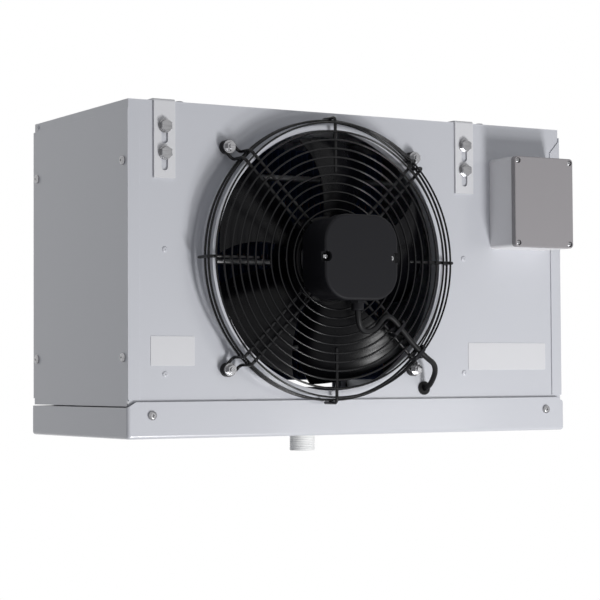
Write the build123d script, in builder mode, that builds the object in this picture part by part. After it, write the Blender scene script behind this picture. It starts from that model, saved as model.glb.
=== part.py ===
"""Walk-in unit cooler: a ceiling-hung evaporator with one guarded axial fan.

Frame: +X to the right seen from the air outlet, the outlet faces -Y, +Z up.
Origin: centre of the four ceiling holes, on the upper face of the hanger feet,
so the whole cooler hangs below z = 0. X = 0 is also the fan's axis.
All sizes are in millimetres.
"""
from build123d import *
from math import cos, pi, radians, sin, tan
import os

os.makedirs("parts", exist_ok=True)

# ---------------------------------------------------------------- driving sizes
# casing
sheet = 1.2                     # painted sheet steel of every casing panel
casing_width = 635.0            # between the flanges that the side panels cover
casing_depth = 276.0            # front panel face to rear panel face
casing_height = 400.0           # underside of the drip tray to the roof
fan_to_left = 263.5             # fan axis to the left end of the casing
fan_height = 215.0              # fan axis above the underside of the drip tray
skirt_height = 14.0             # front panel's lower edge, hidden inside the tray
return_depth = 22.0             # flanges that turn back from the front and rear panels
roof_rim = 14.0                 # the roof's turned-down edge
seat = 0.3                      # gap between a lift-off panel and what it covers
return_low = 45.0               # lower end of the front and rear panels' end returns
top_return = 15.0               # front panel's flange under the roof
roof_rivet_inset = 9.0          # behind the front panel's face
roof_rivet_r = 2.5
intake_bottom = 58.0            # the coil's opening in the rear panel
intake_top_height = 366.0
intake_margin = 8.0             # from each tube sheet to the side of that opening
intake_lip = 10.0

# end panels
side_flange = 15.5              # what wraps round the front and rear edges
side_bottom = 38.5
flange_low = 46.4               # lower end of the flanges, clear of the tray's front wall
flange_relief = 2.3             # corner notch behind each flange's lower end
flange_shoulder = 5.0           # the flange stops this far below the panel's top
side_top = 389.0
side_chamfer = 16.0
side_screw_rows = (96.0, 328.0)
side_screw_inset = 11.0
side_screw_d = 5.0
side_head_d = 11.0
side_head_h = 3.2

# drip tray
tray_proud = 2.0                # how far the tray stands out past the side panels
tray_side_h = 37.0
tray_front_h = 43.4
tray_gap = 2.8                  # front panel face to the inside of the tray's front wall
tray_corner_r = 4.0
tray_rear_gap = 2.0             # rear panel face to the outside of the tray's rear wall
tray_front_chamfer = 11.0       # along the front wall's top, at each end
tray_screw_h = 27.6
tray_screw_left = 28.4          # from the casing's left end
tray_screw_right = 27.0         # from the casing's right end
tray_screw_d = 5.0
tray_head_d = 11.0
pan_sheet = 0.8                 # aluminium inner pan
pan_rim = 30.0
pan_slope = 8.0
pan_gap = 1.0                   # inner pan to the tray's walls
pan_front = 12.0                # front panel face to the inner pan
pan_sump = 60.0                 # flat square round the drain
drain_x = 54.0                  # from the fan axis
drain_y = 0.0
drain_d = 33.2
drain_bore_d = 25.0
drain_reach = 24.0
drain_neck_d = 34.0             # threaded neck that the locknut turns on
drain_head = 7.0                # the spigot's rim, past its neck
drain_head_h = 3.0
locknut_d = 37.0
locknut_h = 4.0

# tray hinge
hinge_pin_d = 4.0
hinge_knuckle_d = 8.0
hinge_leaf = 1.5
hinge_width = 48.0
hinge_at = 210.0                # each hinge's distance from the fan axis
hinge_play = 0.05
hinge_above_tray = 3.5          # pin above the tray's side walls
hinge_leaf_low = 12.0
hinge_leaf_high = 66.0
hinge_end_gap = 0.3             # between neighbouring knuckles

# hangers
hanger_sheet = 2.5
hanger_width = 28.0
hanger_at = 217.0               # centre of each strap from the fan axis
hanger_foot = 70.0
hanger_hole_d = 11.0
hanger_hole_back = 35.0         # ceiling hole behind the panel's face
hanger_low = 308.0
hanger_bolt_rows = (370.0, 338.0)
hanger_travel = 16.5
hanger_gap = 0.15
bolt_d = 8.0
slot_w = 8.8
flange_head_d = 17.0
bolt_hex = 13.0
bolt_head_h = 5.3
bolt_nut_h = 6.5
bolt_play = 0.3                 # radial, in the sheet
washer_t = 1.6

# fan outlet ring pressed out of the front panel
ring_outer_r = 166.0
ring_lip_r = 160.0
ring_height = 26.0
ring_root_r = 5.0

# guard
guard_rings = 11
guard_first_r = 61.5
guard_pitch = 10.65
guard_wire = 2.5
rim_wire = 3.0
rim_r = 171.4
rim_levels = (17.5, 26.0)       # in front of the panel
ring_level = 39.0               # face rings, in front of the panel
stay_wire = 4.0
stay_inner_r = 109.0
spoke_inner_r = 30.0
spoke_gap = 13.4                # between the two legs of a spoke
stud_offset = 134.0             # each guard stud from the fan axis, both ways
foot_level = 8.0
stud_d = 6.0
bush_d = 17.0
stay_foot = 9.0                 # end of each stay, in front of the panel
wire_bend = 5.0
guard_washer_r = 8.0
guard_washer_t = 1.4
guard_nut_flats = 10.0
guard_nut_h = 5.0

# fan and motor
blade_count = 5
fan_r = 152.5
blade_sheet = 1.6
blade_mid = -6.0                # middle of the fan, in front of the panel
blade_pitch = 18.0              # angle of the blade's chord to the plane of rotation, at the tip
root_pitch = 40.0
blade_tilt = 285.0              # where the first blade stands
root_half_chord = 31.0
chord_growth = 56.0             # half chord gained from root to tip
chord_rounding = 11.0
blade_sweep = 16.0
blade_camber = 0.16             # rise over half chord
hub_half = 21.0
hub_r = 54.5
can_r = 51.0
can_wall = 3.0
can_front = 28.0
can_length = 63.0
shaft_r = 4.0
bearing_r = 11.0
run_fit = 0.05
stator_r = 44.5
flange_r = 46.0
flange_t = 4.0
box_side = 98.0                 # motor terminal box, across its flats
box_corner = 31.0
cover_side = 103.0
cover_corner = 33.0
cover_level = 78.0
cover_front = 95.0
cover_screw_at = 48.6
cover_screw_in = 2.0            # screw towards the middle of its notch
box_wall = 3.0
notch_r = 6.5
notch_depth = 9.0
spigot_r = 24.0                 # box foot that stands on the flange
motor_screw_out = 6.0           # beyond the inner end of the spokes
gland_across = 14.0
gland_level = 62.0
gland_r = 8.5
gland_length = 14.0

# coil
coil_rows = 3
tubes_per_row = 8
tube_pitch = 36.0
row_pitch = 33.0
tube_r = 4.8
tube_wall = 0.5
fin_pitch = 9.0
fin_t = 0.4
fin_bottom = 68.0
tube_sheet_t = 1.5
coil_half = 208.0               # fan axis to each tube sheet
coil_back = 12.0                # rear panel's face to the fins
tube_sheet_flange = 18.0
heater_r = 4.25
heater_gap = 1.2
heater_rows = (110.0, 222.0, 334.0)
heater_tail = 18.0              # past each tube sheet
heater_cap = 14.0
header_r = 14.0
suction_r = 11.0
distributor_r = 10.0
liquid_r = 6.0
liquid_drop = 60.0
stub_reach = 28.0               # how far the pipe stubs stand out of the rear panel
supply_hole_r = 10.0
supply_height = 340.0
distributor_height = 296.0
suction_share = 0.306           # of the way from the coil to the casing's right end
liquid_share = 0.563
supply_share = 0.807
feed_r = 2.4

# junction box
jbox_w = 94.0
jbox_h = 117.0
jbox_d = 47.0
jbox_lid = 8.0
jbox_wall = 2.5
jbox_right = 18.5               # from the casing's right end
jbox_low = 237.5
jbox_screw_inset = 5.5
box_entry_r = 9.0
terminal_w = 66.0
terminal_h = 22.0
terminal_d = 17.0
terminal_drop = 26.0            # below the middle of the box

# rivets and blank plates
rivet_out = 8.0                 # outside each tube sheet
rivet_rows = (76.0, 223.5)
rivet_r = 2.0
rivet_head_r = 3.6
plate_t = 0.6
plate_corner = 1.2
right_plate = (86.8, 97.3, 124.5, 34.6)   # from the right end, height, width, tall
left_plate = (57.6, 103.5, 58.2, 35.0)    # from the left end, height, width, tall

# cable from the motor to the casing
cable_d = 7.0
cable_hole = (152.4, -158.1)    # from the fan axis, across and up
cable_hole_r = 6.5
cable_over_rings = 0.8
tie_width = 4.0
tie_band = 1.1
tie_after_ring = (5, 9)

# ---------------------------------------------------------------- derived places
x_left = -fan_to_left
x_right = casing_width - fan_to_left
y_front = -casing_depth / 2
y_rear = casing_depth / 2
z_roof = -hanger_sheet
z_base = z_roof - casing_height
z_fan = z_base + fan_height
z_panel_top = z_roof - sheet
x_side_left = x_left - seat - sheet
x_side_right = x_right + seat + sheet

fan_axis = Axis((0, y_front, z_fan), (0, -1, 0))
fan_section = Plane(origin=(0, y_front, z_fan), x_dir=(1, 0, 0), z_dir=(0, 0, -1))


def up(height):
    """Height above the underside of the drip tray, as a Z."""
    return z_base + height


def facing_front(level=0.0, height=fan_height):
    """A plane parallel to the front panel, `level` in front of it, looking out."""
    return Plane(origin=(0, y_front - level, up(height)), x_dir=(1, 0, 0), z_dir=(0, -1, 0))


def block(x, y, z, mode=Mode.ADD):
    """Add a box that spans the ranges x, y and z."""
    with Locations(((x[0] + x[1]) / 2, (y[0] + y[1]) / 2, (z[0] + z[1]) / 2)):
        Box(x[1] - x[0], y[1] - y[0], z[1] - z[0], mode=mode)


def rod(centre, direction, radius, length, mode=Mode.ADD):
    """Add a cylinder that starts at `centre` and runs `length` along `direction`."""
    with BuildSketch(Plane(origin=centre, z_dir=direction)) as end:
        Circle(radius)
    extrude(end.sketch, amount=length, mode=mode)


def turned(points, mode=Mode.ADD):
    """Turn a closed outline of (radius, level in front of the panel) about the fan axis."""
    with BuildSketch(fan_section) as half:
        with BuildLine():
            Polyline(*points, close=True)
        make_face()
    revolve(half.sketch, axis=fan_axis, mode=mode)


def pan_head(centre, direction, head_r, head_h, shank_r, shank_l, recess_r=1.6):
    """Add a screw: domed head on the side that `direction` points to, shank behind."""
    out = Plane(origin=centre, z_dir=direction)
    half = Plane(origin=centre, x_dir=out.x_dir, z_dir=out.x_dir.cross(out.z_dir))
    with BuildSketch(half) as profile:
        with BuildLine():
            Polyline((0, head_h), (0, -shank_l), (shank_r, -shank_l), (shank_r, 0), (head_r, 0),
                     (head_r, head_h * 0.35))
            ThreePointArc((head_r, head_h * 0.35), (head_r * 0.8, head_h * 0.86), (head_r * 0.4, head_h))
            Line((head_r * 0.4, head_h), (0, head_h))
        make_face()
    revolve(profile.sketch, axis=Axis(centre, direction))
    with BuildSketch(out.offset(head_h)) as cross:
        Rectangle(recess_r * 2, recess_r * 0.55)
        Rectangle(recess_r * 0.55, recess_r * 2)
    extrude(cross.sketch, amount=-head_h * 0.5, mode=Mode.SUBTRACT)


# ---------------------------------------------------------------- front panel
box_x = (x_right - jbox_right - jbox_w, x_right - jbox_right)
box_z = (up(jbox_low), up(jbox_low + jbox_h))
box_mid = ((box_x[0] + box_x[1]) / 2, (box_z[0] + box_z[1]) / 2)
tray_screw_x = (x_left + tray_screw_left, x_right - tray_screw_right)
rivet_x = coil_half + rivet_out
stud_places = [(sx * stud_offset, sz * stud_offset) for sx in (-1, 1) for sz in (-1, 1)]
bolt_places = [(sx * hanger_at, up(h)) for sx in (-1, 1) for h in hanger_bolt_rows]
return_top = up(casing_height - roof_rim - 3.0)
roof_rivet_x = (-hanger_at + 25.0, hanger_at + 32.0)

with BuildPart() as front_panel:
    with BuildSketch(facing_front(-sheet)):
        with Locations(((x_left + x_right) / 2, (up(skirt_height) + z_panel_top) / 2 - z_fan)):
            Rectangle(casing_width, z_panel_top - up(skirt_height))
        Circle(ring_outer_r + ring_root_r + 3.0, mode=Mode.SUBTRACT)
        with Locations(*stud_places):
            Circle(stud_d / 2 + 0.2, mode=Mode.SUBTRACT)
        with Locations(*[(x, z - z_fan) for x, z in bolt_places]):
            Circle(bolt_d / 2 + bolt_play, mode=Mode.SUBTRACT)
        with Locations(cable_hole):
            Circle(cable_hole_r, mode=Mode.SUBTRACT)
        with Locations((box_mid[0], box_mid[1] - z_fan)):
            Circle(box_entry_r, mode=Mode.SUBTRACT)
        with Locations(*[(s * rivet_x, up(h) - z_fan) for s in (-1, 1) for h in rivet_rows]):
            Circle(rivet_r + 0.05, mode=Mode.SUBTRACT)
        for x in tray_screw_x:
            with Locations((x, up(tray_screw_h) - z_fan)):
                Circle(tray_screw_d / 2 + 0.75, mode=Mode.SUBTRACT)
            with Locations((x, up((tray_screw_h + skirt_height) / 2) - z_fan)):
                Rectangle(tray_screw_d + 1.5, tray_screw_h - skirt_height, mode=Mode.SUBTRACT)
    extrude(amount=sheet)
    with BuildSketch(fan_section):
        with BuildLine():
            Polyline(
                (ring_outer_r + ring_root_r + 4.0, 0),
                (ring_outer_r, 0),
                (ring_outer_r, ring_height),
                (ring_lip_r, ring_height),
                (ring_lip_r, ring_height - sheet),
                (ring_outer_r - sheet, ring_height - sheet),
                (ring_outer_r - sheet, -sheet),
                (ring_outer_r + ring_root_r + 4.0, -sheet),
                close=True,
            )
        make_face()
        corners = vertices()
        root_inner = corners.sort_by_distance(fan_section.from_local_coords((ring_outer_r, 0)))[0]
        fillet(root_inner, ring_root_r)
        corners = vertices()
        root_outer = corners.sort_by_distance(
            fan_section.from_local_coords((ring_outer_r - sheet, -sheet))
        )[0]
        fillet(root_outer, ring_root_r + sheet)
        corners = vertices()
        lip_outer = corners.sort_by_distance(
            fan_section.from_local_coords((ring_outer_r, ring_height))
        )[0]
        fillet(lip_outer, sheet + 2.6)
        corners = vertices()
        lip_inner = corners.sort_by_distance(
            fan_section.from_local_coords((ring_outer_r - sheet, ring_height - sheet))
        )[0]
        fillet(lip_inner, 2.6)
    revolve(axis=fan_axis)
    for x in ((x_left, x_left + sheet), (x_right - sheet, x_right)):
        block(x, (y_front, y_front + return_depth), (up(return_low), return_top))
    block((x_left + sheet, x_right - sheet), (y_front, y_front + top_return),
          (z_panel_top - sheet, z_panel_top))
    for x in roof_rivet_x:
        rod((x, y_front + roof_rivet_inset, z_panel_top + 1), (0, 0, -1), roof_rivet_r, 4,
            mode=Mode.SUBTRACT)
    for h in side_screw_rows:
        rod((x_left - 1, y_front + side_screw_inset, up(h)), (1, 0, 0), side_screw_d / 2 + 0.2,
            casing_width + 2, mode=Mode.SUBTRACT)
front_panel.part.label = "front_panel"
export_step(front_panel.part, "parts/front_panel.step")

# ---------------------------------------------------------------- roof and rear panel
with BuildPart() as roof_panel:
    block((x_left, x_right), (y_front, y_rear), (z_panel_top, z_roof))
    for x in ((x_left, x_left + sheet), (x_right - sheet, x_right)):
        block(x, (y_front + sheet, y_rear), (z_roof - roof_rim, z_roof))
    block((x_left, x_right), (y_rear - sheet, y_rear), (z_roof - roof_rim, z_roof))
    for s, x in ((-1, x_left), (1, x_right)):
        rod((x + s, y_rear - side_screw_inset, z_roof - 5), (-s, 0, 0), 1.6, 3, mode=Mode.SUBTRACT)
    for x in roof_rivet_x:
        rod((x, y_front + roof_rivet_inset, z_roof + 1), (0, 0, -1), roof_rivet_r, 4,
            mode=Mode.SUBTRACT)
roof_panel.part.label = "roof_panel"
export_step(roof_panel.part, "parts/roof_panel.step")

rear_top = z_roof - roof_rim - 0.5
rear_low = up(return_low)
intake_low = up(intake_bottom)
intake_top = up(intake_top_height)
intake_half = coil_half - intake_margin
pipe_bay = x_right - coil_half
suction_at = (coil_half + suction_share * pipe_bay, up(fin_bottom) + tube_pitch * 0.75)
liquid_at = (coil_half + liquid_share * pipe_bay, up(distributor_height))
supply_at = (coil_half + supply_share * pipe_bay, up(supply_height))
with BuildPart() as rear_panel:
    block((x_left, x_right), (y_rear - sheet, y_rear), (rear_low, rear_top))
    block((-intake_half, intake_half), (y_rear - 2 * sheet, y_rear + sheet), (intake_low, intake_top),
          mode=Mode.SUBTRACT)
    for x in ((x_left, x_left + sheet), (x_right - sheet, x_right)):
        block(x, (y_rear - return_depth, y_rear), (rear_low, return_top))
    for z in ((intake_low - sheet, intake_low), (intake_top, intake_top + sheet)):
        block((-intake_half, intake_half), (y_rear - intake_lip, y_rear), z)
    pipe_holes = (
        (suction_at[0], suction_at[1], suction_r + 2.5),
        (liquid_at[0], liquid_at[1] - liquid_drop, liquid_r + 2.0),
        (supply_at[0], supply_at[1], supply_hole_r),
    )
    for x, z, r in pipe_holes:
        rod((x, y_rear + 1, z), (0, -1, 0), r, 2 * sheet, mode=Mode.SUBTRACT)
    for x, z in bolt_places:
        rod((x, y_rear + 1, z), (0, -1, 0), bolt_d / 2 + bolt_play, 2 * sheet, mode=Mode.SUBTRACT)
    for h in side_screw_rows:
        rod((x_left - 1, y_rear - side_screw_inset, up(h)), (1, 0, 0), side_screw_d / 2 + 0.2,
            casing_width + 2, mode=Mode.SUBTRACT)
rear_panel.part.label = "rear_panel"
export_step(rear_panel.part, "parts/rear_panel.step")


# ---------------------------------------------------------------- end panels
def end_panel(side):
    """A lift-off end panel: a flat face with a flange round the front and rear edges."""
    outer = x_side_left if side < 0 else x_side_right
    inner = outer - side * sheet
    flange_end = outer - side * side_flange
    face_x = sorted((outer, inner))
    flange_x = sorted((outer, flange_end))
    y_out = (y_front - seat - sheet, y_rear + seat + sheet)
    z_span = (up(side_bottom), up(side_top))
    with BuildPart() as panel:
        block(face_x, y_out, z_span)
        for y in ((y_out[0], y_out[0] + sheet), (y_out[1] - sheet, y_out[1])):
            block(flange_x, y, (up(flange_low), z_span[1] - flange_shoulder))
            with BuildSketch(Plane(origin=(0, y[0], 0), x_dir=(1, 0, 0), z_dir=(0, -1, 0))):
                with BuildLine():
                    Polyline(
                        (inner, z_span[1] - flange_shoulder),
                        (flange_end, z_span[1] - flange_shoulder - side_chamfer),
                        (flange_end, z_span[1]),
                        (inner, z_span[1]),
                        close=True,
                    )
                make_face()
            extrude(amount=-sheet, mode=Mode.SUBTRACT)
        for y in ((y_out[0], y_out[0] + sheet + flange_relief), (y_out[1] - sheet - flange_relief, y_out[1])):
            block(face_x, y, (z_span[0], up(flange_low)), mode=Mode.SUBTRACT)
        for h in side_screw_rows:
            for y in (y_front + side_screw_inset, y_rear - side_screw_inset):
                rod((outer + side, y, up(h)), (-side, 0, 0), side_screw_d / 2 + 0.2, 2 * sheet + 1,
                    mode=Mode.SUBTRACT)
    return panel


def end_screws(side):
    """The four screws of an end panel, driven from outside."""
    outer = x_side_left if side < 0 else x_side_right
    with BuildPart() as screws:
        for h in side_screw_rows:
            for y in (y_front + side_screw_inset, y_rear - side_screw_inset):
                pan_head((outer, y, up(h)), (side, 0, 0), side_head_d / 2, side_head_h,
                         side_screw_d / 2, 9.0)
    return screws


left_side_panel = end_panel(-1)
left_side_panel.part.label = "left_side_panel"
export_step(left_side_panel.part, "parts/left_side_panel.step")
right_side_panel = end_panel(1)
right_side_panel.part.label = "right_side_panel"
export_step(right_side_panel.part, "parts/right_side_panel.step")
left_panel_screws = end_screws(-1)
left_panel_screws.part.label = "left_panel_screws"
export_step(left_panel_screws.part, "parts/left_panel_screws.step")
right_panel_screws = end_screws(1)
right_panel_screws.part.label = "right_panel_screws"
export_step(right_panel_screws.part, "parts/right_panel_screws.step")

# ---------------------------------------------------------------- drip tray
tray_x = (x_side_left - tray_proud, x_side_right + tray_proud)
tray_y = (y_front - tray_gap - sheet, y_rear + tray_rear_gap)
neck_r = drain_neck_d / 2
with BuildPart() as drip_tray:
    block(tray_x, tray_y, (z_base, up(tray_front_h)))
    fillet(edges().filter_by(Axis.Z), tray_corner_r)
    fillet(faces().sort_by(Axis.Z)[0].edges(), tray_corner_r)
    inside = tray_corner_r - sheet
    with BuildPart(mode=Mode.PRIVATE) as hollow:
        block((tray_x[0] + sheet, tray_x[1] - sheet), (tray_y[0] + sheet, tray_y[1] - sheet),
              (z_base + sheet, up(tray_front_h + 5)))
        fillet(edges().filter_by(Axis.Z), inside)
        fillet(faces().sort_by(Axis.Z)[0].edges(), inside)
    add(hollow.part, mode=Mode.SUBTRACT)
    block((tray_x[0] - 1, tray_x[1] + 1), (tray_y[0] + tray_corner_r, tray_y[1] + 1),
          (up(tray_side_h), up(tray_front_h + 1)), mode=Mode.SUBTRACT)
    for x, s in ((tray_x[0], 1), (tray_x[1], -1)):
        with BuildSketch(Plane(origin=(0, tray_y[0] - 1, 0), x_dir=(1, 0, 0), z_dir=(0, -1, 0))):
            with BuildLine():
                Polyline(
                    (x - s, up(tray_side_h)),
                    (x, up(tray_side_h)),
                    (x + s * tray_front_chamfer, up(tray_front_h)),
                    (x + s * tray_front_chamfer, up(tray_front_h + 1)),
                    (x - s, up(tray_front_h + 1)),
                    close=True,
                )
            make_face()
        extrude(amount=-tray_corner_r - 2, mode=Mode.SUBTRACT)
    rod((drain_x, drain_y, z_base - 1), (0, 0, 1), neck_r + 0.1, 5, mode=Mode.SUBTRACT)
    for x in tray_screw_x:
        rod((x, tray_y[0] - 1, up(tray_screw_h)), (0, 1, 0), tray_screw_d / 2 + 0.2, 3,
            mode=Mode.SUBTRACT)
drip_tray.part.label = "drip_tray"
export_step(drip_tray.part, "parts/drip_tray.step")

pan_x = (tray_x[0] + sheet + pan_gap, tray_x[1] - sheet - pan_gap)
pan_y = (y_front + pan_front, tray_y[1] - sheet - pan_gap)
pan_mid = ((pan_x[0] + pan_x[1]) / 2, (pan_y[0] + pan_y[1]) / 2)
pan_floor = up(sheet + 0.1)


def dish(grow, lift):
    """The drip pan's solid: upright walls on a floor that falls to the drain."""
    size = (pan_x[1] - pan_x[0] - 2 * grow, pan_y[1] - pan_y[0] - 2 * grow)
    low = pan_floor + lift
    high = pan_floor + pan_slope + lift
    with BuildPart() as solid:
        with BuildSketch(Plane.XY.offset(low)):
            with Locations((drain_x, drain_y)):
                Rectangle(pan_sump, pan_sump)
        with BuildSketch(Plane.XY.offset(high)):
            with Locations(pan_mid):
                Rectangle(*size)
        loft(ruled=True)
        with BuildSketch(Plane.XY.offset(high)):
            with Locations(pan_mid):
                Rectangle(*size)
        extrude(amount=up(pan_rim) - high + (5 if grow else 0))
    return solid.part


pan_outside = dish(0.0, 0.0)
pan_inside = dish(pan_sheet, pan_sheet)
with BuildPart() as inner_drip_pan:
    add(pan_outside)
    add(pan_inside, mode=Mode.SUBTRACT)
    rod((drain_x, drain_y, pan_floor - 1), (0, 0, 1), neck_r + 0.1, 6, mode=Mode.SUBTRACT)
inner_drip_pan.part.label = "inner_drip_pan"
export_step(inner_drip_pan.part, "parts/inner_drip_pan.step")

with BuildPart() as drain_spigot:
    stem_top = pan_floor + pan_sheet
    rod((drain_x, drain_y, up(-drain_reach)), (0, 0, 1), drain_d / 2, stem_top - up(-drain_reach))
    rod((drain_x, drain_y, up(-locknut_h)), (0, 0, 1), neck_r, stem_top - up(-locknut_h))
    rod((drain_x, drain_y, stem_top), (0, 0, 1), neck_r + drain_head, drain_head_h)
    rod((drain_x, drain_y, up(-drain_reach - 1)), (0, 0, 1), drain_bore_d / 2, drain_reach + 10,
        mode=Mode.SUBTRACT)
    chamfer(edges().filter_by(GeomType.CIRCLE).group_by(Axis.Z)[0].sort_by(SortBy.RADIUS)[-1], 1.0)
drain_spigot.part.label = "drain_spigot"
export_step(drain_spigot.part, "parts/drain_spigot.step")

with BuildPart() as drain_locknut:
    rod((drain_x, drain_y, z_base), (0, 0, -1), locknut_d / 2, locknut_h)
    chamfer(edges().group_by(Axis.Z)[0], 0.8)
    rod((drain_x, drain_y, z_base + 1), (0, 0, -1), neck_r + 0.05, locknut_h + 2, mode=Mode.SUBTRACT)
drain_locknut.part.label = "drain_locknut"
export_step(drain_locknut.part, "parts/drain_locknut.step")

nut_y = y_front + sheet + 1.0
with BuildPart() as tray_screws:
    for x in tray_screw_x:
        pan_head((x, tray_y[0], up(tray_screw_h)), (0, -1, 0), tray_head_d / 2, 3.6,
                 tray_screw_d / 2, nut_y + 4.0 - tray_y[0])
        with BuildSketch(Plane(origin=(x, nut_y, up(tray_screw_h)), z_dir=(0, 1, 0))):
            RegularPolygon(4.6, 6)
            Circle(tray_screw_d / 2 + 0.02, mode=Mode.SUBTRACT)
        extrude(amount=3.5)
tray_screws.part.label = "tray_screws"
export_step(tray_screws.part, "parts/tray_screws.step")

# ---------------------------------------------------------------- tray hinges
hinge_y = tray_y[1] + hinge_leaf + hinge_knuckle_d / 2 - 0.5
hinge_z = up(tray_side_h + hinge_above_tray)
leaf_low = up(hinge_leaf_low)
leaf_high = up(hinge_leaf_high)


def knuckle(x0, x1, plate):
    """One hinge knuckle with its plate: `plate` is ((y0, y1), (z0, z1))."""
    (y0, y1), (z0, z1) = plate
    with BuildSketch(Plane(origin=(x0, 0, 0), x_dir=(0, 1, 0), z_dir=(1, 0, 0))) as ear:
        with Locations(((y0 + y1) / 2, (z0 + z1) / 2)):
            Rectangle(y1 - y0, z1 - z0)
        with Locations((hinge_y, hinge_z)):
            Circle(hinge_knuckle_d / 2)
        near_z = z1 if z1 < hinge_z else z0
        edge = sorted((near_z, hinge_z + (1 if near_z > hinge_z else -1) * 1.0))
        with Locations(((y0 + hinge_y) / 2, (edge[0] + edge[1]) / 2)):
            Rectangle(hinge_y - y0, edge[1] - edge[0])
        with Locations((hinge_y, hinge_z)):
            Circle(hinge_pin_d / 2 + hinge_play, mode=Mode.SUBTRACT)
    extrude(ear.sketch, amount=x1 - x0)


third = hinge_width / 3
with BuildPart() as hinge_casing_leaves:
    for s in (-1, 1):
        x0 = s * hinge_at - hinge_width / 2
        knuckle(x0 + third + hinge_end_gap, x0 + 2 * third - hinge_end_gap,
                ((y_rear, y_rear + hinge_leaf), (hinge_z + 5, leaf_high)))
        block((x0, x0 + hinge_width), (y_rear, y_rear + hinge_leaf), (hinge_z + 5, leaf_high))
hinge_casing_leaves.part.label = "hinge_casing_leaves"
export_step(hinge_casing_leaves.part, "parts/hinge_casing_leaves.step")

with BuildPart() as hinge_tray_leaves:
    for s in (-1, 1):
        x0 = s * hinge_at - hinge_width / 2
        tray_leaf = ((tray_y[1], tray_y[1] + hinge_leaf), (leaf_low, hinge_z - 5))
        knuckle(x0, x0 + third - hinge_end_gap, tray_leaf)
        knuckle(x0 + 2 * third + hinge_end_gap, x0 + hinge_width, tray_leaf)
        block((x0, x0 + hinge_width), tray_leaf[0], tray_leaf[1])
hinge_tray_leaves.part.label = "hinge_tray_leaves"
export_step(hinge_tray_leaves.part, "parts/hinge_tray_leaves.step")

with BuildPart() as hinge_pins:
    for s in (-1, 1):
        x0 = s * hinge_at - hinge_width / 2
        rod((x0 - 1.5, hinge_y, hinge_z), (1, 0, 0), hinge_pin_d / 2, hinge_width + 3)
        rod((x0 - 1.5, hinge_y, hinge_z), (-1, 0, 0), hinge_pin_d / 2 + 1.2, 1.5)
hinge_pins.part.label = "hinge_pins"
export_step(hinge_pins.part, "parts/hinge_pins.step")


# ---------------------------------------------------------------- ceiling hangers
def hanger(side, end):
    """A strap bent over the casing's top edge. end -1 is at the front, 1 at the rear."""
    face = y_front if end < 0 else y_rear
    leg_y = sorted((face + end * hanger_gap, face + end * (hanger_gap + hanger_sheet)))
    foot_y = sorted((face + end * (hanger_gap + hanger_sheet), face - end * hanger_foot))
    x = (side * hanger_at - hanger_width / 2, side * hanger_at + hanger_width / 2)
    with BuildPart() as strap:
        block(x, leg_y, (up(hanger_low), 0))
        block(x, foot_y, (-hanger_sheet, 0))
        bend = edges().filter_by(Axis.X).sort_by_distance((side * hanger_at, face + end * 10, 10))[0]
        fillet(bend, hanger_sheet + 1.0)
        for h in hanger_bolt_rows:
            middle = (side * hanger_at, face + end * 6, up(h) - hanger_travel / 2)
            with BuildSketch(Plane(origin=middle, x_dir=(1, 0, 0), z_dir=(0, -end, 0))):
                SlotCenterToCenter(hanger_travel, slot_w, rotation=90)
            extrude(amount=8, mode=Mode.SUBTRACT)
        rod((side * hanger_at, face - end * hanger_hole_back, 1), (0, 0, -1), hanger_hole_d / 2, 5,
            mode=Mode.SUBTRACT)
    return strap


for side, across in ((-1, "left"), (1, "right")):
    for end, along in ((-1, "front"), (1, "rear")):
        strap = hanger(side, end)
        strap.part.label = f"hanger_{along}_{across}"
        export_step(strap.part, f"parts/hanger_{along}_{across}.step")

with BuildPart() as hanger_washers:
    for end in (-1, 1):
        face = (y_front if end < 0 else y_rear) + end * (hanger_gap + hanger_sheet + hanger_gap)
        for x, z in bolt_places:
            rod((x, face, z), (0, end, 0), flange_head_d / 2, washer_t)
            rod((x, face - end, z), (0, end, 0), bolt_d / 2 + 0.2, washer_t + 2, mode=Mode.SUBTRACT)
hanger_washers.part.label = "hanger_washers"
export_step(hanger_washers.part, "parts/hanger_washers.step")

nut_seat = sheet + tube_sheet_t
with BuildPart() as hanger_bolts:
    for end in (-1, 1):
        face = (y_front if end < 0 else y_rear) + end * (hanger_gap + hanger_sheet + hanger_gap + washer_t)
        inner = (y_front + nut_seat) if end < 0 else (y_rear - nut_seat)
        for x, z in bolt_places:
            with BuildSketch(Plane(origin=(x, face, z), x_dir=(1, 0, 0), z_dir=(0, end, 0))):
                RegularPolygon(bolt_hex / 2, 6, major_radius=False, rotation=30)
            extrude(amount=bolt_head_h)
            rod((x, face, z), (0, -end, 0), bolt_d / 2, abs(face - inner) + 9)
            with BuildSketch(Plane(origin=(x, inner, z), x_dir=(1, 0, 0), z_dir=(0, -end, 0))):
                RegularPolygon(bolt_hex / 2, 6, major_radius=False, rotation=30)
                Circle(bolt_d / 2 + 0.02, mode=Mode.SUBTRACT)
            extrude(amount=bolt_nut_h)
hanger_bolts.part.label = "hanger_bolts"
export_step(hanger_bolts.part, "parts/hanger_bolts.step")

# ---------------------------------------------------------------- guard
spoke_level = ring_level - (guard_wire + stay_wire) / 2
with BuildPart() as guard_face_rings:
    for k in range(guard_rings):
        with BuildSketch(fan_section):
            with Locations((guard_first_r + k * guard_pitch, ring_level)):
                Circle(guard_wire / 2)
        revolve(axis=fan_axis)
guard_face_rings.part.label = "guard_face_rings"
export_step(guard_face_rings.part, "parts/guard_face_rings.step")

with BuildPart() as guard_rim_rings:
    for level in rim_levels:
        with BuildSketch(fan_section):
            with Locations((rim_r, level)):
                Circle(rim_wire / 2)
        revolve(axis=fan_axis)
guard_rim_rings.part.label = "guard_rim_rings"
export_step(guard_rim_rings.part, "parts/guard_rim_rings.step")

bend_r = rim_r + (rim_wire + stay_wire) / 2


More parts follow.
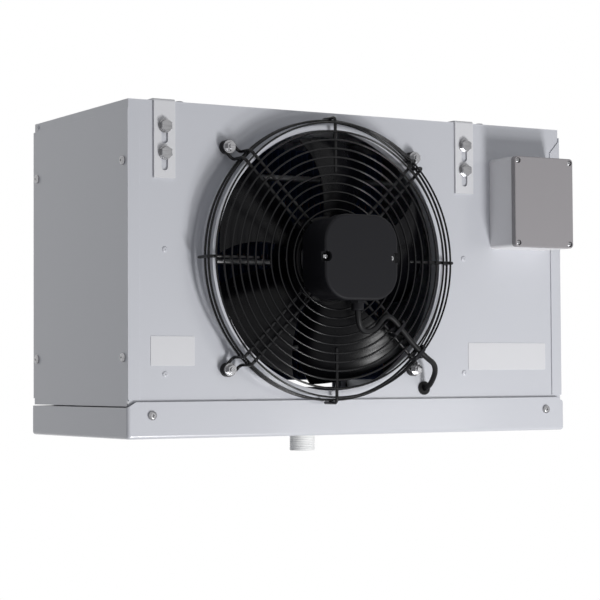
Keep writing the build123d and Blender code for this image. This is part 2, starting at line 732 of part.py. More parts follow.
def from_axis(angle):
    """A plane on the fan axis whose x runs outwards at `angle` and whose z faces the front."""
    out = (cos(radians(angle)), 0, sin(radians(angle)))
    return Plane(origin=(0, y_front, z_fan), x_dir=out, z_dir=(0, -1, 0))


with BuildPart() as guard_stays:
    for angle in (0, 90, 180, 270):
        radial = from_axis(angle)
        with BuildLine(radial) as route:
            FilletPolyline(
                (stay_inner_r, 0, spoke_level),
                (bend_r, 0, spoke_level),
                (bend_r, 0, stay_foot),
                radius=wire_bend,
            )
        with BuildSketch(Plane(origin=route.line @ 0, z_dir=route.line % 0)):
            Circle(stay_wire / 2)
        sweep(path=route.line)
guard_stays.part.label = "guard_stays"
export_step(guard_stays.part, "parts/guard_stays.step")

stud_r = stud_offset * 2 ** 0.5
leg = spoke_gap / 2
with BuildPart() as guard_spokes:
    for angle in (45, 135, 225, 315):
        with BuildLine(from_axis(angle)) as route:
            upper = FilletPolyline(
                (spoke_inner_r, leg, spoke_level),
                (bend_r, leg, spoke_level),
                (bend_r, leg, foot_level),
                (stud_r, leg, foot_level),
                radius=wire_bend,
            )
            ThreePointArc((stud_r, leg, foot_level), (stud_r + leg, 0, foot_level), (stud_r, -leg, foot_level))
            lower = FilletPolyline(
                (stud_r, -leg, foot_level),
                (bend_r, -leg, foot_level),
                (bend_r, -leg, spoke_level),
                (spoke_inner_r, -leg, spoke_level),
                radius=wire_bend,
            )
        with BuildSketch(Plane(origin=upper @ 0, z_dir=upper % 0)):
            Circle(stay_wire / 2)
        sweep(path=route.line)
guard_spokes.part.label = "guard_spokes"
export_step(guard_spokes.part, "parts/guard_spokes.step")

bush_top = foot_level + stay_wire / 2
with BuildPart() as guard_bushes:
    for x, z in stud_places:
        base = (x, y_front, z_fan + z)
        rod(base, (0, -1, 0), bush_d / 2, foot_level - stay_wire / 2)
        rod(base, (0, -1, 0), leg - stay_wire / 2 - 0.2, bush_top - 0.1)
        rod((x, y_front + 1, z_fan + z), (0, -1, 0), stud_d / 2 + 0.1, bush_top + 2, mode=Mode.SUBTRACT)
guard_bushes.part.label = "guard_bushes"
export_step(guard_bushes.part, "parts/guard_bushes.step")

with BuildPart() as guard_nuts:
    for x, z in stud_places:
        rod((x, y_front - bush_top, z_fan + z), (0, -1, 0), guard_washer_r, guard_washer_t)
        rod((x, y_front - bush_top + 1, z_fan + z), (0, -1, 0), stud_d / 2 + 0.2, guard_washer_t + 2,
            mode=Mode.SUBTRACT)
        seat_y = y_front - bush_top - guard_washer_t
        with BuildSketch(Plane(origin=(x, seat_y, z_fan + z), z_dir=(0, -1, 0))):
            RegularPolygon(guard_nut_flats / 2, 6, major_radius=False)
            Circle(stud_d / 2 + 0.02, mode=Mode.SUBTRACT)
        extrude(amount=guard_nut_h)
guard_nuts.part.label = "guard_nuts"
export_step(guard_nuts.part, "parts/guard_nuts.step")

with BuildPart() as guard_studs:
    for x, z in stud_places:
        rod((x, y_front + sheet + 2.0, z_fan + z), (0, -1, 0), stud_d / 2,
            sheet + 2.0 + bush_top + guard_washer_t + 7.0)
        rod((x, y_front + sheet, z_fan + z), (0, 1, 0), stud_d / 2 + 3.0, 2.0)
guard_studs.part.label = "guard_studs"
export_step(guard_studs.part, "parts/guard_studs.step")

# ---------------------------------------------------------------- motor, still parts
flange_front = spoke_level - stay_wire / 2
tube_back = -24.0
with BuildPart() as motor_flange:
    turned(((0, flange_front - flange_t), (flange_r, flange_front - flange_t), (flange_r, flange_front), (0, flange_front)))
    turned(((bearing_r, flange_front - flange_t), (bearing_r + 3, flange_front - flange_t),
            (bearing_r + 3, tube_back), (bearing_r, tube_back)))
    with BuildSketch(from_axis(45).offset(flange_front - flange_t)):
        with PolarLocations(spoke_inner_r + motor_screw_out, 4):
            Circle(2.1)
    extrude(amount=flange_t, mode=Mode.SUBTRACT)
motor_flange.part.label = "motor_flange"
export_step(motor_flange.part, "parts/motor_flange.step")

with BuildPart() as stator_core:
    turned(((bearing_r + 3, 22), (stator_r, 22), (stator_r, -18), (bearing_r + 3, -18)))
stator_core.part.label = "stator_core"
export_step(stator_core.part, "parts/stator_core.step")

with BuildPart() as motor_bearings:
    for level in (18.0, -14.0):
        turned(((shaft_r + run_fit, level), (bearing_r, level), (bearing_r, level - 7), (shaft_r + run_fit, level - 7)))
motor_bearings.part.label = "motor_bearings"
export_step(motor_bearings.part, "parts/motor_bearings.step")

box_back = spoke_level + stay_wire / 2
gland_at = (gland_across, gland_level)
with BuildPart() as terminal_base:
    with BuildSketch(facing_front(box_back)):
        RectangleRounded(box_side, box_side, box_corner)
    extrude(amount=cover_level - box_back)
    with BuildSketch(facing_front(box_back + box_wall)):
        RectangleRounded(box_side - 2 * box_wall, box_side - 2 * box_wall, box_corner - box_wall)
    extrude(amount=cover_level - box_back, mode=Mode.SUBTRACT)
    with BuildSketch(facing_front(flange_front)):
        Circle(spigot_r)
    extrude(amount=box_back + box_wall - flange_front)
    with BuildSketch(facing_front(box_back + box_wall)):
        with Locations((-cover_screw_at + 4.5, 0), (cover_screw_at - 4.5, 0)):
            Circle(4.5)
    extrude(amount=cover_level - box_back - box_wall)
    with BuildSketch(from_axis(45).offset(box_back - 1)):
        with PolarLocations(spoke_inner_r + motor_screw_out, 4):
            Circle(2.6)
    extrude(amount=6, mode=Mode.SUBTRACT)
    rod((gland_at[0], y_front - gland_at[1], z_fan - box_side / 2 - 1), (0, 0, 1), 6.1, 6, mode=Mode.SUBTRACT)
terminal_base.part.label = "terminal_base"
export_step(terminal_base.part, "parts/terminal_base.step")

notch_floor = cover_front - notch_depth
cover_screw_x = cover_screw_at - cover_screw_in
with BuildPart() as terminal_cover:
    with BuildSketch(facing_front(cover_level)):
        RectangleRounded(cover_side, cover_side, cover_corner)
    extrude(amount=cover_front - cover_level)
    fillet(faces().sort_by(Axis.Y)[0].edges(), 3.0)
    with BuildSketch(facing_front(cover_level)):
        RectangleRounded(cover_side - 2 * box_wall, cover_side - 2 * box_wall, cover_corner - box_wall)
    extrude(amount=cover_front - cover_level - box_wall, mode=Mode.SUBTRACT)
    for s in (-1, 1):
        with BuildSketch(facing_front(cover_level)):
            with Locations((s * cover_screw_at, 0)):
                Circle(notch_r + 2)
            with Locations((s * (cover_side / 2 + 10), 0)):
                Rectangle(20, 30, mode=Mode.SUBTRACT)
        extrude(amount=cover_front - cover_level - 1)
        with BuildSketch(facing_front(notch_floor)):
            with Locations((s * cover_screw_at, 0)):
                Circle(notch_r)
        extrude(amount=cover_front - notch_floor + 1, mode=Mode.SUBTRACT)
        with BuildSketch(facing_front(cover_level - 1)):
            with Locations((s * cover_screw_x, 0)):
                Circle(2.2)
        extrude(amount=cover_front - cover_level, mode=Mode.SUBTRACT)
terminal_cover.part.label = "terminal_cover"
export_step(terminal_cover.part, "parts/terminal_cover.step")

with BuildPart() as terminal_cover_screws:
    for s in (-1, 1):
        pan_head((s * cover_screw_x, y_front - notch_floor, z_fan), (0, -1, 0), 3.6, 3.0, 2.0, 8.0, 1.2)
terminal_cover_screws.part.label = "terminal_cover_screws"
export_step(terminal_cover_screws.part, "parts/terminal_cover_screws.step")

screw_circle = spoke_inner_r + motor_screw_out
with BuildPart() as motor_screws:
    for k in range(4):
        a = radians(45 + 90 * k)
        spot = (screw_circle * cos(a), y_front - box_back - box_wall, z_fan + screw_circle * sin(a))
        pan_head(spot, (0, -1, 0), 4.5, 3.2, 2.0, box_back + box_wall - flange_front + flange_t + 1, 1.5)
motor_screws.part.label = "motor_screws"
export_step(motor_screws.part, "parts/motor_screws.step")

gland_top = z_fan - box_side / 2
with BuildPart() as motor_gland:
    place = (gland_at[0], y_front - gland_at[1])
    with BuildSketch(Plane.XY.offset(gland_top - 5)):
        with Locations(place):
            RegularPolygon(gland_r, 6, major_radius=False)
    extrude(amount=5)
    rod((*place, gland_top - gland_length), (0, 0, 1), gland_r - 0.8, gland_length - 5)
    fillet(edges().group_by(Axis.Z)[0], 2.0)
    rod((*place, gland_top), (0, 0, 1), 6.0, 6)
    rod((*place, gland_top - gland_length - 1), (0, 0, 1), cable_d / 2 + 0.1, gland_length + 8, mode=Mode.SUBTRACT)
motor_gland.part.label = "motor_gland"
export_step(motor_gland.part, "parts/motor_gland.step")

# ---------------------------------------------------------------- fan, turning parts
can_back = can_front - can_length
with BuildPart() as rotor_can:
    turned((
        (stator_r + 0.6, can_front),
        (can_r, can_front),
        (can_r, can_back + 4),
        (can_r - 4, can_back),
        (shaft_r, can_back),
        (shaft_r, can_back + 8),
        (14, can_back + 8),
        (18, can_back + can_wall),
        (stator_r + 0.6, can_back + can_wall),
    ))
    chamfer(edges().filter_by(GeomType.CIRCLE).group_by(Axis.Y)[0].sort_by(SortBy.RADIUS)[-1], 1.5)
rotor_can.part.label = "rotor_can"
export_step(rotor_can.part, "parts/rotor_can.step")

with BuildPart() as rotor_shaft:
    turned(((0, can_back + 0.5), (shaft_r, can_back + 0.5), (shaft_r, 21), (0, 21)))
rotor_shaft.part.label = "rotor_shaft"
export_step(rotor_shaft.part, "parts/rotor_shaft.step")

with BuildPart() as hub_ring:
    turned(((can_r, blade_mid + hub_half), (hub_r, blade_mid + hub_half),
            (hub_r, blade_mid - hub_half), (can_r, blade_mid - hub_half)))
hub_ring.part.label = "hub_ring"
export_step(hub_ring.part, "parts/hub_ring.step")


def blade_section(r):
    """A cambered strip across the blade at radius r: its plane, half chord and sweep angle."""
    share = (r - hub_r) / (fan_r - hub_r)
    half_chord = root_half_chord + chord_growth * share - chord_rounding * share ** 2
    pitch = root_pitch + (blade_pitch - root_pitch) * share
    sweep_angle = blade_sweep * share ** 2
    return half_chord, pitch, sweep_angle


def one_blade(angle):
    """A pressed sheet blade, lofted through cambered strips and trimmed to the fan's circle."""
    stations = [hub_r - 6, hub_r + 20, (hub_r + fan_r) / 2, fan_r - 20, fan_r + 10]
    with BuildPart(mode=Mode.PRIVATE) as blade:
        for r in stations:
            half, pitch, lean = blade_section(r)
            a = radians(angle + lean)
            out = Vector(cos(a), 0, sin(a))
            tangent = Vector(-sin(a), 0, cos(a))
            p = radians(pitch)
            chord = tangent * cos(p) + Vector(0, -1, 0) * sin(p)
            centre = Vector(0, y_front - blade_mid, z_fan) + out * r
            with BuildSketch(Plane(origin=centre, x_dir=chord, z_dir=out)):
                with BuildLine():
                    rise = half * blade_camber
                    ThreePointArc((-half, 0), (0, rise), (half, 0))
                    Line((half, 0), (half, -blade_sheet))
                    ThreePointArc((half, -blade_sheet), (0, rise - blade_sheet), (-half, -blade_sheet))
                    Line((-half, -blade_sheet), (-half, 0))
                make_face()
        loft()
    return blade.part


fan_zone_front = Plane(origin=(0, y_front - 60, z_fan), x_dir=(1, 0, 0), z_dir=(0, 1, 0))
with BuildPart() as fan_zone:
    with BuildSketch(fan_zone_front):
        Circle(fan_r)
        Circle(hub_r, mode=Mode.SUBTRACT)
    extrude(amount=140)
with BuildPart() as fan_blades:
    for k in range(blade_count):
        trimmed = one_blade(blade_tilt + 360.0 / blade_count * k) & fan_zone.part
        add(trimmed)
fan_blades.part.label = "fan_blades"
export_step(fan_blades.part, "parts/fan_blades.step")

# ---------------------------------------------------------------- motor cable
def cord_radii(points, width):
    """The largest arc for each corner of a cord's route: 0.45 of its shorter run."""
    spots = [Vector(*p) for p in points]
    radii = []
    for before, here, after in zip(spots, spots[1:], spots[2:]):
        turn = (here - before).get_angle(after - here)
        run = min((here - before).length, (after - here).length)
        radii.append(0.45 * run / tan(radians(turn) / 2))
    print("cord arcs in diameters:", [round(r / width, 1) for r in radii])
    return radii


def fan_point(across, level, rise):
    """A point given from the fan axis: across, in front of the panel, and up."""
    return (across, y_front - level, z_fan + rise)


cable_start = -box_side / 2 - gland_length
cable_level = ring_level + guard_wire / 2 + cable_d / 2 + cable_over_rings
cable_route = [
    fan_point(gland_at[0], gland_at[1], cable_start + 12),
    fan_point(gland_at[0], gland_at[1], cable_start - 9),
    fan_point(gland_at[0] + 7, gland_at[1] - 4, cable_start - 23),
    fan_point(gland_at[0] + 21, gland_at[1] - 8, cable_start - 26),
    fan_point(gland_at[0] + 36, gland_at[1] - 13, cable_start - 20),
    fan_point(gland_at[0] + 47, gland_at[1] - 16, cable_start - 8),
    fan_point(72, cable_level + 0.5, -68),
    fan_point(87, cable_level, -82),
    fan_point(106, cable_level, -103),
    fan_point(128, cable_level, -121),
    fan_point(144, 36, -127),
    fan_point(153, 26, -137),
    fan_point(154, 17, -149),
    fan_point(cable_hole[0], 9, cable_hole[1] + 0.3),
    fan_point(cable_hole[0], -7, cable_hole[1]),
]
with BuildPart() as motor_cable:
    with BuildLine() as route:
        FilletPolyline(*cable_route, radius=cord_radii(cable_route, cable_d))
    with BuildSketch(Plane(origin=route.line @ 0, z_dir=route.line % 0)):
        Circle(cable_d / 2 - 0.05)
    sweep(path=route.line)
motor_cable.part.label = "motor_cable"
export_step(motor_cable.part, "parts/motor_cable.step")
cable_length = sum(edge.length for edge in route.edges())
print("motor cable length", round(cable_length, 1))
print("motor cable volume", round(motor_cable.part.volume, 1),
      "section x length", round(pi * (cable_d / 2 - 0.05) ** 2 * cable_length, 1))

tie_back = spoke_level - stay_wire / 2 - 0.2
tie_front = cable_level + cable_d / 2 + 0.2
tie_inside = (spoke_gap + stay_wire + 0.5, tie_front - tie_back)
with BuildPart() as cable_ties:
    for k in tie_after_ring:
        r = guard_first_r + (k + 0.5) * guard_pitch
        a = radians(315)
        out = Vector(cos(a), 0, sin(a))
        centre = Vector(0, y_front - (tie_back + tie_front) / 2, z_fan) + out * (r - tie_width / 2)
        loop = Plane(origin=centre, x_dir=(-sin(a), 0, cos(a)), z_dir=out)
        with BuildSketch(loop):
            RectangleRounded(tie_inside[0] + 2 * tie_band, tie_inside[1] + 2 * tie_band, 2.0 + tie_band)
            RectangleRounded(*tie_inside, 2.0, mode=Mode.SUBTRACT)
        extrude(amount=tie_width)
        with BuildSketch(loop.offset(-0.5)):
            with Locations((tie_inside[0] / 2 + 2.8, 0)):
                Rectangle(4.0, 6.5)
        extrude(amount=tie_width + 1.0)
cable_ties.part.label = "cable_ties"
export_step(cable_ties.part, "parts/cable_ties.step")

with BuildPart() as panel_grommet:
    spot = (cable_hole[0], y_front, z_fan + cable_hole[1])
    rod(spot, (0, -1, 0), cable_hole_r + 2.0, 2.0)
    rod(spot, (0, 1, 0), cable_hole_r - 0.05, sheet)
    rod((spot[0], y_front + sheet, spot[2]), (0, 1, 0), cable_hole_r + 2.0, 2.0)
    rod((spot[0], y_front - 5, spot[2]), (0, 1, 0), cable_d / 2 + 0.1, 12, mode=Mode.SUBTRACT)
panel_grommet.part.label = "panel_grommet"
export_step(panel_grommet.part, "parts/panel_grommet.step")

# ---------------------------------------------------------------- junction box
box_plane = Plane(origin=(box_mid[0], y_front, box_mid[1]), x_dir=(1, 0, 0), z_dir=(0, -1, 0))
lid_screw_grid = (jbox_w - 2 * jbox_screw_inset, jbox_h - 2 * jbox_screw_inset)
with BuildPart() as junction_box_base:
    with BuildSketch(box_plane):
        RectangleRounded(jbox_w, jbox_h, 5.0)
    extrude(amount=jbox_d)
    with BuildSketch(box_plane.offset(jbox_wall)):
        RectangleRounded(jbox_w - 2 * jbox_wall, jbox_h - 2 * jbox_wall, 2.5)
    extrude(amount=jbox_d, mode=Mode.SUBTRACT)
    with BuildSketch(box_plane.offset(jbox_wall)):
        with GridLocations(*lid_screw_grid, 2, 2):
            Circle(4.4)
    extrude(amount=jbox_d - jbox_wall)
    with BuildSketch(box_plane.offset(jbox_d)):
        with GridLocations(*lid_screw_grid, 2, 2):
            Circle(1.6)
    extrude(amount=-14, mode=Mode.SUBTRACT)
    with BuildSketch(box_plane.offset(-1)):
        Circle(box_entry_r)
    extrude(amount=jbox_wall + 2, mode=Mode.SUBTRACT)
junction_box_base.part.label = "junction_box_base"
export_step(junction_box_base.part, "parts/junction_box_base.step")

with BuildPart() as lid_gasket:
    with BuildSketch(box_plane.offset(jbox_d + 0.05)):
        RectangleRounded(jbox_w - 9, jbox_h - 9, 4.0)
        RectangleRounded(jbox_w - 13, jbox_h - 13, 3.0, mode=Mode.SUBTRACT)
        with GridLocations(*lid_screw_grid, 2, 2):
            Circle(2.6, mode=Mode.SUBTRACT)
    extrude(amount=1.0)
lid_gasket.part.label = "lid_gasket"
export_step(lid_gasket.part, "parts/lid_gasket.step")

lid_back = jbox_d + 0.3
with BuildPart() as junction_box_lid:
    with BuildSketch(box_plane.offset(lid_back)):
        RectangleRounded(jbox_w, jbox_h, 5.0)
    extrude(amount=jbox_lid)
    fillet(faces().sort_by(Axis.Y)[0].edges(), 1.5)
    with BuildSketch(box_plane.offset(lid_back)):
        RectangleRounded(jbox_w - 16, jbox_h - 16, 3.0)
    extrude(amount=jbox_lid - 3, mode=Mode.SUBTRACT)
    with BuildSketch(box_plane.offset(lid_back)):
        RectangleRounded(jbox_w - 8.6, jbox_h - 8.6, 4.2)
        RectangleRounded(jbox_w - 13.4, jbox_h - 13.4, 2.8, mode=Mode.SUBTRACT)
    extrude(amount=0.8, mode=Mode.SUBTRACT)
    with BuildSketch(box_plane.offset(lid_back + jbox_lid)):
        with GridLocations(*lid_screw_grid, 2, 2):
            Circle(3.6)
    extrude(amount=-3.2, mode=Mode.SUBTRACT)
    with BuildSketch(box_plane.offset(lid_back - 1)):
        with GridLocations(*lid_screw_grid, 2, 2):
            Circle(1.8)
    extrude(amount=jbox_lid + 2, mode=Mode.SUBTRACT)
junction_box_lid.part.label = "junction_box_lid"
export_step(junction_box_lid.part, "parts/junction_box_lid.step")

with BuildPart() as lid_screws:
    for sx in (-1, 1):
        for sz in (-1, 1):
            spot = (box_mid[0] + sx * lid_screw_grid[0] / 2, y_front - lid_back - jbox_lid + 3.2,
                    box_mid[1] + sz * lid_screw_grid[1] / 2)
            pan_head(spot, (0, -1, 0), 3.3, 2.2, 1.45, 15.0, 1.4)
lid_screws.part.label = "lid_screws"
export_step(lid_screws.part, "parts/lid_screws.step")

terminal_z = box_mid[1] - terminal_drop
with BuildPart() as terminal_block:
    block((box_mid[0] - terminal_w / 2, box_mid[0] + terminal_w / 2),
          (y_front - jbox_wall - terminal_d, y_front - jbox_wall), (terminal_z - terminal_h / 2, terminal_z + terminal_h / 2))
    top = Plane(origin=(box_mid[0], y_front - jbox_wall - terminal_d, terminal_z), x_dir=(1, 0, 0), z_dir=(0, -1, 0))
    with BuildSketch(top):
        with GridLocations(10.4, 12.0, 6, 2):
            Circle(2.4)
    extrude(amount=-7, mode=Mode.SUBTRACT)
    with BuildSketch(top):
        with GridLocations(10.4, 0, 5, 1):
            Rectangle(1.4, terminal_h + 2)
    extrude(amount=-3, mode=Mode.SUBTRACT)
terminal_block.part.label = "terminal_block"
export_step(terminal_block.part, "parts/terminal_block.step")

# ---------------------------------------------------------------- coil
fin_height = (tubes_per_row + 0.5) * tube_pitch
fin_depth = coil_rows * row_pitch
coil_y1 = y_rear - coil_back
coil_y0 = coil_y1 - fin_depth
tube_spots = [
    (coil_y0 + row_pitch * (row + 0.5), up(fin_bottom) + tube_pitch * (n + 0.5 + 0.5 * (row % 2)), row, n)
    for row in range(coil_rows)
    for n in range(tubes_per_row)
]


def side_plane(x):
    """A plane square to X whose local coordinates are Y and Z."""
    return Plane(origin=(x, 0, 0), x_dir=(0, 1, 0), z_dir=(1, 0, 0))


fin_count = int((2 * coil_half - 10) // fin_pitch)
fin_planes = [side_plane((k - (fin_count - 1) / 2) * fin_pitch - fin_t / 2) for k in range(fin_count)]
with BuildPart() as coil_fins:
    with BuildSketch(*fin_planes):
        with Locations(((coil_y0 + coil_y1) / 2, up(fin_bottom) + fin_height / 2)):
            Rectangle(fin_depth, fin_height)
        with Locations(*[(y, z) for y, z, _, _ in tube_spots]):
            Circle(tube_r + 0.05, mode=Mode.SUBTRACT)
    extrude(amount=fin_t)
coil_fins.part.label = "coil_fins"
export_step(coil_fins.part, "parts/coil_fins.step")

tube_end = coil_half + tube_sheet_t + 4.0
with BuildPart() as coil_tubes:
    with BuildSketch(side_plane(-tube_end)):
        with Locations(*[(y, z) for y, z, _, _ in tube_spots]):
            Circle(tube_r)
        with Locations(*[(y, z) for y, z, _, _ in tube_spots]):
            Circle(tube_r - tube_wall, mode=Mode.SUBTRACT)
    extrude(amount=2 * tube_end)
coil_tubes.part.label = "coil_tubes"
export_step(coil_tubes.part, "parts/coil_tubes.step")

bend_pairs = [(-1, row, n) for row in range(coil_rows) for n in range(0, tubes_per_row, 2)]
bend_pairs += [(1, row, n) for row in range(coil_rows) for n in range(1, tubes_per_row - 1, 2)]
with BuildPart() as return_bends:
    for s, row, n in bend_pairs:
        y, z, _, _ = tube_spots[row * tubes_per_row + n]
        mid = Plane(origin=(s * tube_end, y, z + tube_pitch / 2), x_dir=(0, 0, -1), z_dir=(s, 0, 0))
        axis = Axis((s * tube_end, y, z + tube_pitch / 2), (0, 1, 0))
        with BuildSketch(mid):
            with Locations((tube_pitch / 2, 0)):
                Circle(tube_r)
                Circle(tube_r - tube_wall, mode=Mode.SUBTRACT)
        revolve(axis=axis, revolution_arc=-s * 180)
return_bends.part.label = "return_bends"
export_step(return_bends.part, "parts/return_bends.step")

heater_y = coil_y0 - heater_gap - heater_r
ts_y = (y_front + sheet, y_rear - sheet)
ts_z = (up(48), z_panel_top - sheet)


def tube_sheet(s):
    """An upright plate that carries the coil tubes, with flanges turned to the end."""
    web = sorted((s * coil_half, s * (coil_half + tube_sheet_t)))
    wide = sorted((s * coil_half, s * (coil_half + tube_sheet_flange)))
    with BuildPart() as plate:
        block(web, ts_y, ts_z)
        block(wide, (ts_y[0], ts_y[0] + tube_sheet_t), ts_z)
        block(wide, (ts_y[1] - tube_sheet_t, ts_y[1]), (ts_z[0], rear_top))
        block(wide, (ts_y[0] + return_depth, ts_y[1] - return_depth), (ts_z[1] - tube_sheet_t, ts_z[1]))
        with BuildSketch(side_plane(web[0] - 1)) as holes:
            with Locations(*[(y, z) for y, z, _, _ in tube_spots]):
                Circle(tube_r + 0.05)
            with Locations(*[(heater_y, up(h)) for h in heater_rows]):
                Circle(heater_r + 0.05)
        extrude(holes.sketch, amount=tube_sheet_t + 2, mode=Mode.SUBTRACT)
        for h in rivet_rows:
            rod((s * rivet_x, ts_y[0] - 1, up(h)), (0, 1, 0), rivet_r + 0.05, 5, mode=Mode.SUBTRACT)
        for h in hanger_bolt_rows:
            rod((s * hanger_at, ts_y[0] - 1, up(h)), (0, 1, 0), bolt_d / 2 + bolt_play, 5, mode=Mode.SUBTRACT)
            rod((s * hanger_at, ts_y[1] + 1, up(h)), (0, -1, 0), bolt_d / 2 + bolt_play, 5, mode=Mode.SUBTRACT)
    return plate


tube_sheet_left = tube_sheet(-1)
tube_sheet_left.part.label = "tube_sheet_left"
export_step(tube_sheet_left.part, "parts/tube_sheet_left.step")
tube_sheet_right = tube_sheet(1)
tube_sheet_right.part.label = "tube_sheet_right"
export_step(tube_sheet_right.part, "parts/tube_sheet_right.step")

heater_end = coil_half + heater_tail
with BuildPart() as defrost_heaters:
    for h in heater_rows:
        rod((-heater_end, heater_y, up(h)), (1, 0, 0), heater_r, 2 * heater_end)
        for s in (-1, 1):
            rod((s * heater_end, heater_y, up(h)), (s, 0, 0), heater_r + 1.5, heater_cap)
defrost_heaters.part.label = "defrost_heaters"
export_step(defrost_heaters.part, "parts/defrost_heaters.step")

# ---------------------------------------------------------------- refrigerant pipes
# each upright row of tubes is one circuit: fed at its top, drained at its foot
outlets = [(y, z) for y, z, row, n in tube_spots if n == 0]
inlets = [(y, z) for y, z, row, n in tube_spots if n == tubes_per_row - 1]
header_front = coil_y0 + 4.0
with BuildPart() as suction_header:
    rod((suction_at[0], header_front, suction_at[1]), (0, 1, 0), header_r, coil_y1 - header_front)
    rod((suction_at[0], coil_y1, suction_at[1]), (0, 1, 0), suction_r, y_rear + stub_reach - coil_y1)
    for y, z in outlets:
        rod((tube_end, y, z), (1, 0, 0), tube_r, suction_at[0] - tube_end)
        rod((tube_end - 1, y, z), (1, 0, 0), tube_r - tube_wall, suction_at[0] - tube_end,
            mode=Mode.SUBTRACT)
    rod((suction_at[0], header_front + 1, suction_at[1]), (0, 1, 0), header_r - 1, coil_y1 - header_front - 2,
        mode=Mode.SUBTRACT)
    rod((suction_at[0], coil_y1 - 3, suction_at[1]), (0, 1, 0), suction_r - 1, stub_reach + 40,
        mode=Mode.SUBTRACT)
suction_header.part.label = "suction_header"
export_step(suction_header.part, "parts/suction_header.step")

feed_mid = inlets[1][0]
distributor_z = liquid_at[1]
with BuildPart() as liquid_distributor:
    rod((liquid_at[0], feed_mid, distributor_z), (0, 0, 1), distributor_r, 12.0)
    rod((liquid_at[0], feed_mid, distributor_z), (0, 0, -1), liquid_r + 2.0, 10.0)
    for (y, z), shift in zip(inlets, (-5.0, 0.0, 5.0)):
        top = (liquid_at[0], feed_mid + shift, distributor_z + 11.0)
        if shift:
            route = [top, (liquid_at[0], feed_mid + shift * 1.2, distributor_z + 20.0), (liquid_at[0], y, z)]
        else:
            route = [top, (liquid_at[0], y, z)]
        route.append((tube_end + 3, y, z))
        with BuildLine() as feed:
            FilletPolyline(*route, radius=7.0)
        with BuildSketch(Plane(origin=feed.line @ 0, z_dir=feed.line % 0)):
            Circle(feed_r)
        sweep(path=feed.line)
        rod((tube_end, y, z), (1, 0, 0), tube_r, 6)
        rod((tube_end - 1, y, z), (1, 0, 0), feed_r - 0.6, 5, mode=Mode.SUBTRACT)
    rod((liquid_at[0], feed_mid, distributor_z - 11), (0, 0, 1), liquid_r + 0.1, 9, mode=Mode.SUBTRACT)
liquid_distributor.part.label = "liquid_distributor"
export_step(liquid_distributor.part, "parts/liquid_distributor.step")

with BuildPart() as liquid_line:
    with BuildLine() as run:
        FilletPolyline(
            (liquid_at[0], feed_mid, distributor_z - 2.1),
            (liquid_at[0], feed_mid, distributor_z - liquid_drop),
            (liquid_at[0], y_rear + stub_reach, distributor_z - liquid_drop),
            radius=18.0,
        )
    with BuildSketch(Plane(origin=run.line @ 0, z_dir=run.line % 0)):
        Circle(liquid_r)
        Circle(liquid_r - 0.8, mode=Mode.SUBTRACT)
    sweep(path=run.line)
liquid_line.part.label = "liquid_line"
export_step(liquid_line.part, "parts/liquid_line.step")

with BuildPart() as supply_gland:
    rod((supply_at[0], y_rear, supply_at[1]), (0, 1, 0), 13.0, 5.0)
    rod((supply_at[0], y_rear + 5, supply_at[1]), (0, 1, 0), 11.5, 12.0)
    rod((supply_at[0], y_rear, supply_at[1]), (0, -1, 0), supply_hole_r - 0.05, 12.0)
    rod((supply_at[0], y_rear - sheet, supply_at[1]), (0, -1, 0), 13.0, 5.0)
    rod((supply_at[0], y_rear + 20, supply_at[1]), (0, -1, 0), 5.5, 40.0, mode=Mode.SUBTRACT)
supply_gland.part.label = "supply_gland"
export_step(supply_gland.part, "parts/supply_gland.step")

# ---------------------------------------------------------------- rivets and blank plates
with BuildPart() as casing_rivets:
    for s in (-1, 1):
        for h in rivet_rows:
            pan_head((s * rivet_x, y_front, up(h)), (0, -1, 0), rivet_head_r, 1.3, rivet_r,
                     nut_seat + 2.5, 0.9)
        x = x_left if s < 0 else x_right
        pan_head((x, y_rear - side_screw_inset, z_roof - 5), (s, 0, 0), 3.0, 1.2, 1.5, 6.0, 0.8)
    for x in roof_rivet_x:
        pan_head((x, y_front + roof_rivet_inset, z_roof), (0, 0, 1), 6.0, 2.0, roof_rivet_r - 0.1, 4.5, 1.0)
casing_rivets.part.label = "casing_rivets"
export_step(casing_rivets.part, "parts/casing_rivets.step")

with BuildPart() as blank_plates:
    for end, s, (inset, height, width, tall) in ((x_left, 1, left_plate), (x_right, -1, right_plate)):
        spot = (end + s * inset, y_front, up(height))
        with BuildSketch(Plane(origin=spot, x_dir=(1, 0, 0), z_dir=(0, -1, 0))):
            RectangleRounded(width, tall, plate_corner)
        extrude(amount=plate_t)
blank_plates.part.label = "blank_plates"
export_step(blank_plates.part, "parts/blank_plates.step")
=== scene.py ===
"""Looks of a ceiling-hung walk-in unit cooler: finishes, wire guard, motor lead, light and camera."""

import bpy
import numpy as np
from mathutils import Matrix, Vector


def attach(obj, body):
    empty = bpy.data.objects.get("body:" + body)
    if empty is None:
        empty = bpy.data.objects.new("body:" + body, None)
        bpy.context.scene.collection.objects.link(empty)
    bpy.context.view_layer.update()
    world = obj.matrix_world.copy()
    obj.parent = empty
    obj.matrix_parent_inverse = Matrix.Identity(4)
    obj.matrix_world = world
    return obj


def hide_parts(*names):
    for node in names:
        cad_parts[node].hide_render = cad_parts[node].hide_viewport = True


MM = 0.001

# ------------------------------------------------------------------ driving sizes, in millimetres
PANEL_Y = -138.0                # face of the front panel
FAN_Z = -187.5                  # height of the fan's axis, which runs along Y at x = 0
TRAY_BASE_Z = -402.5

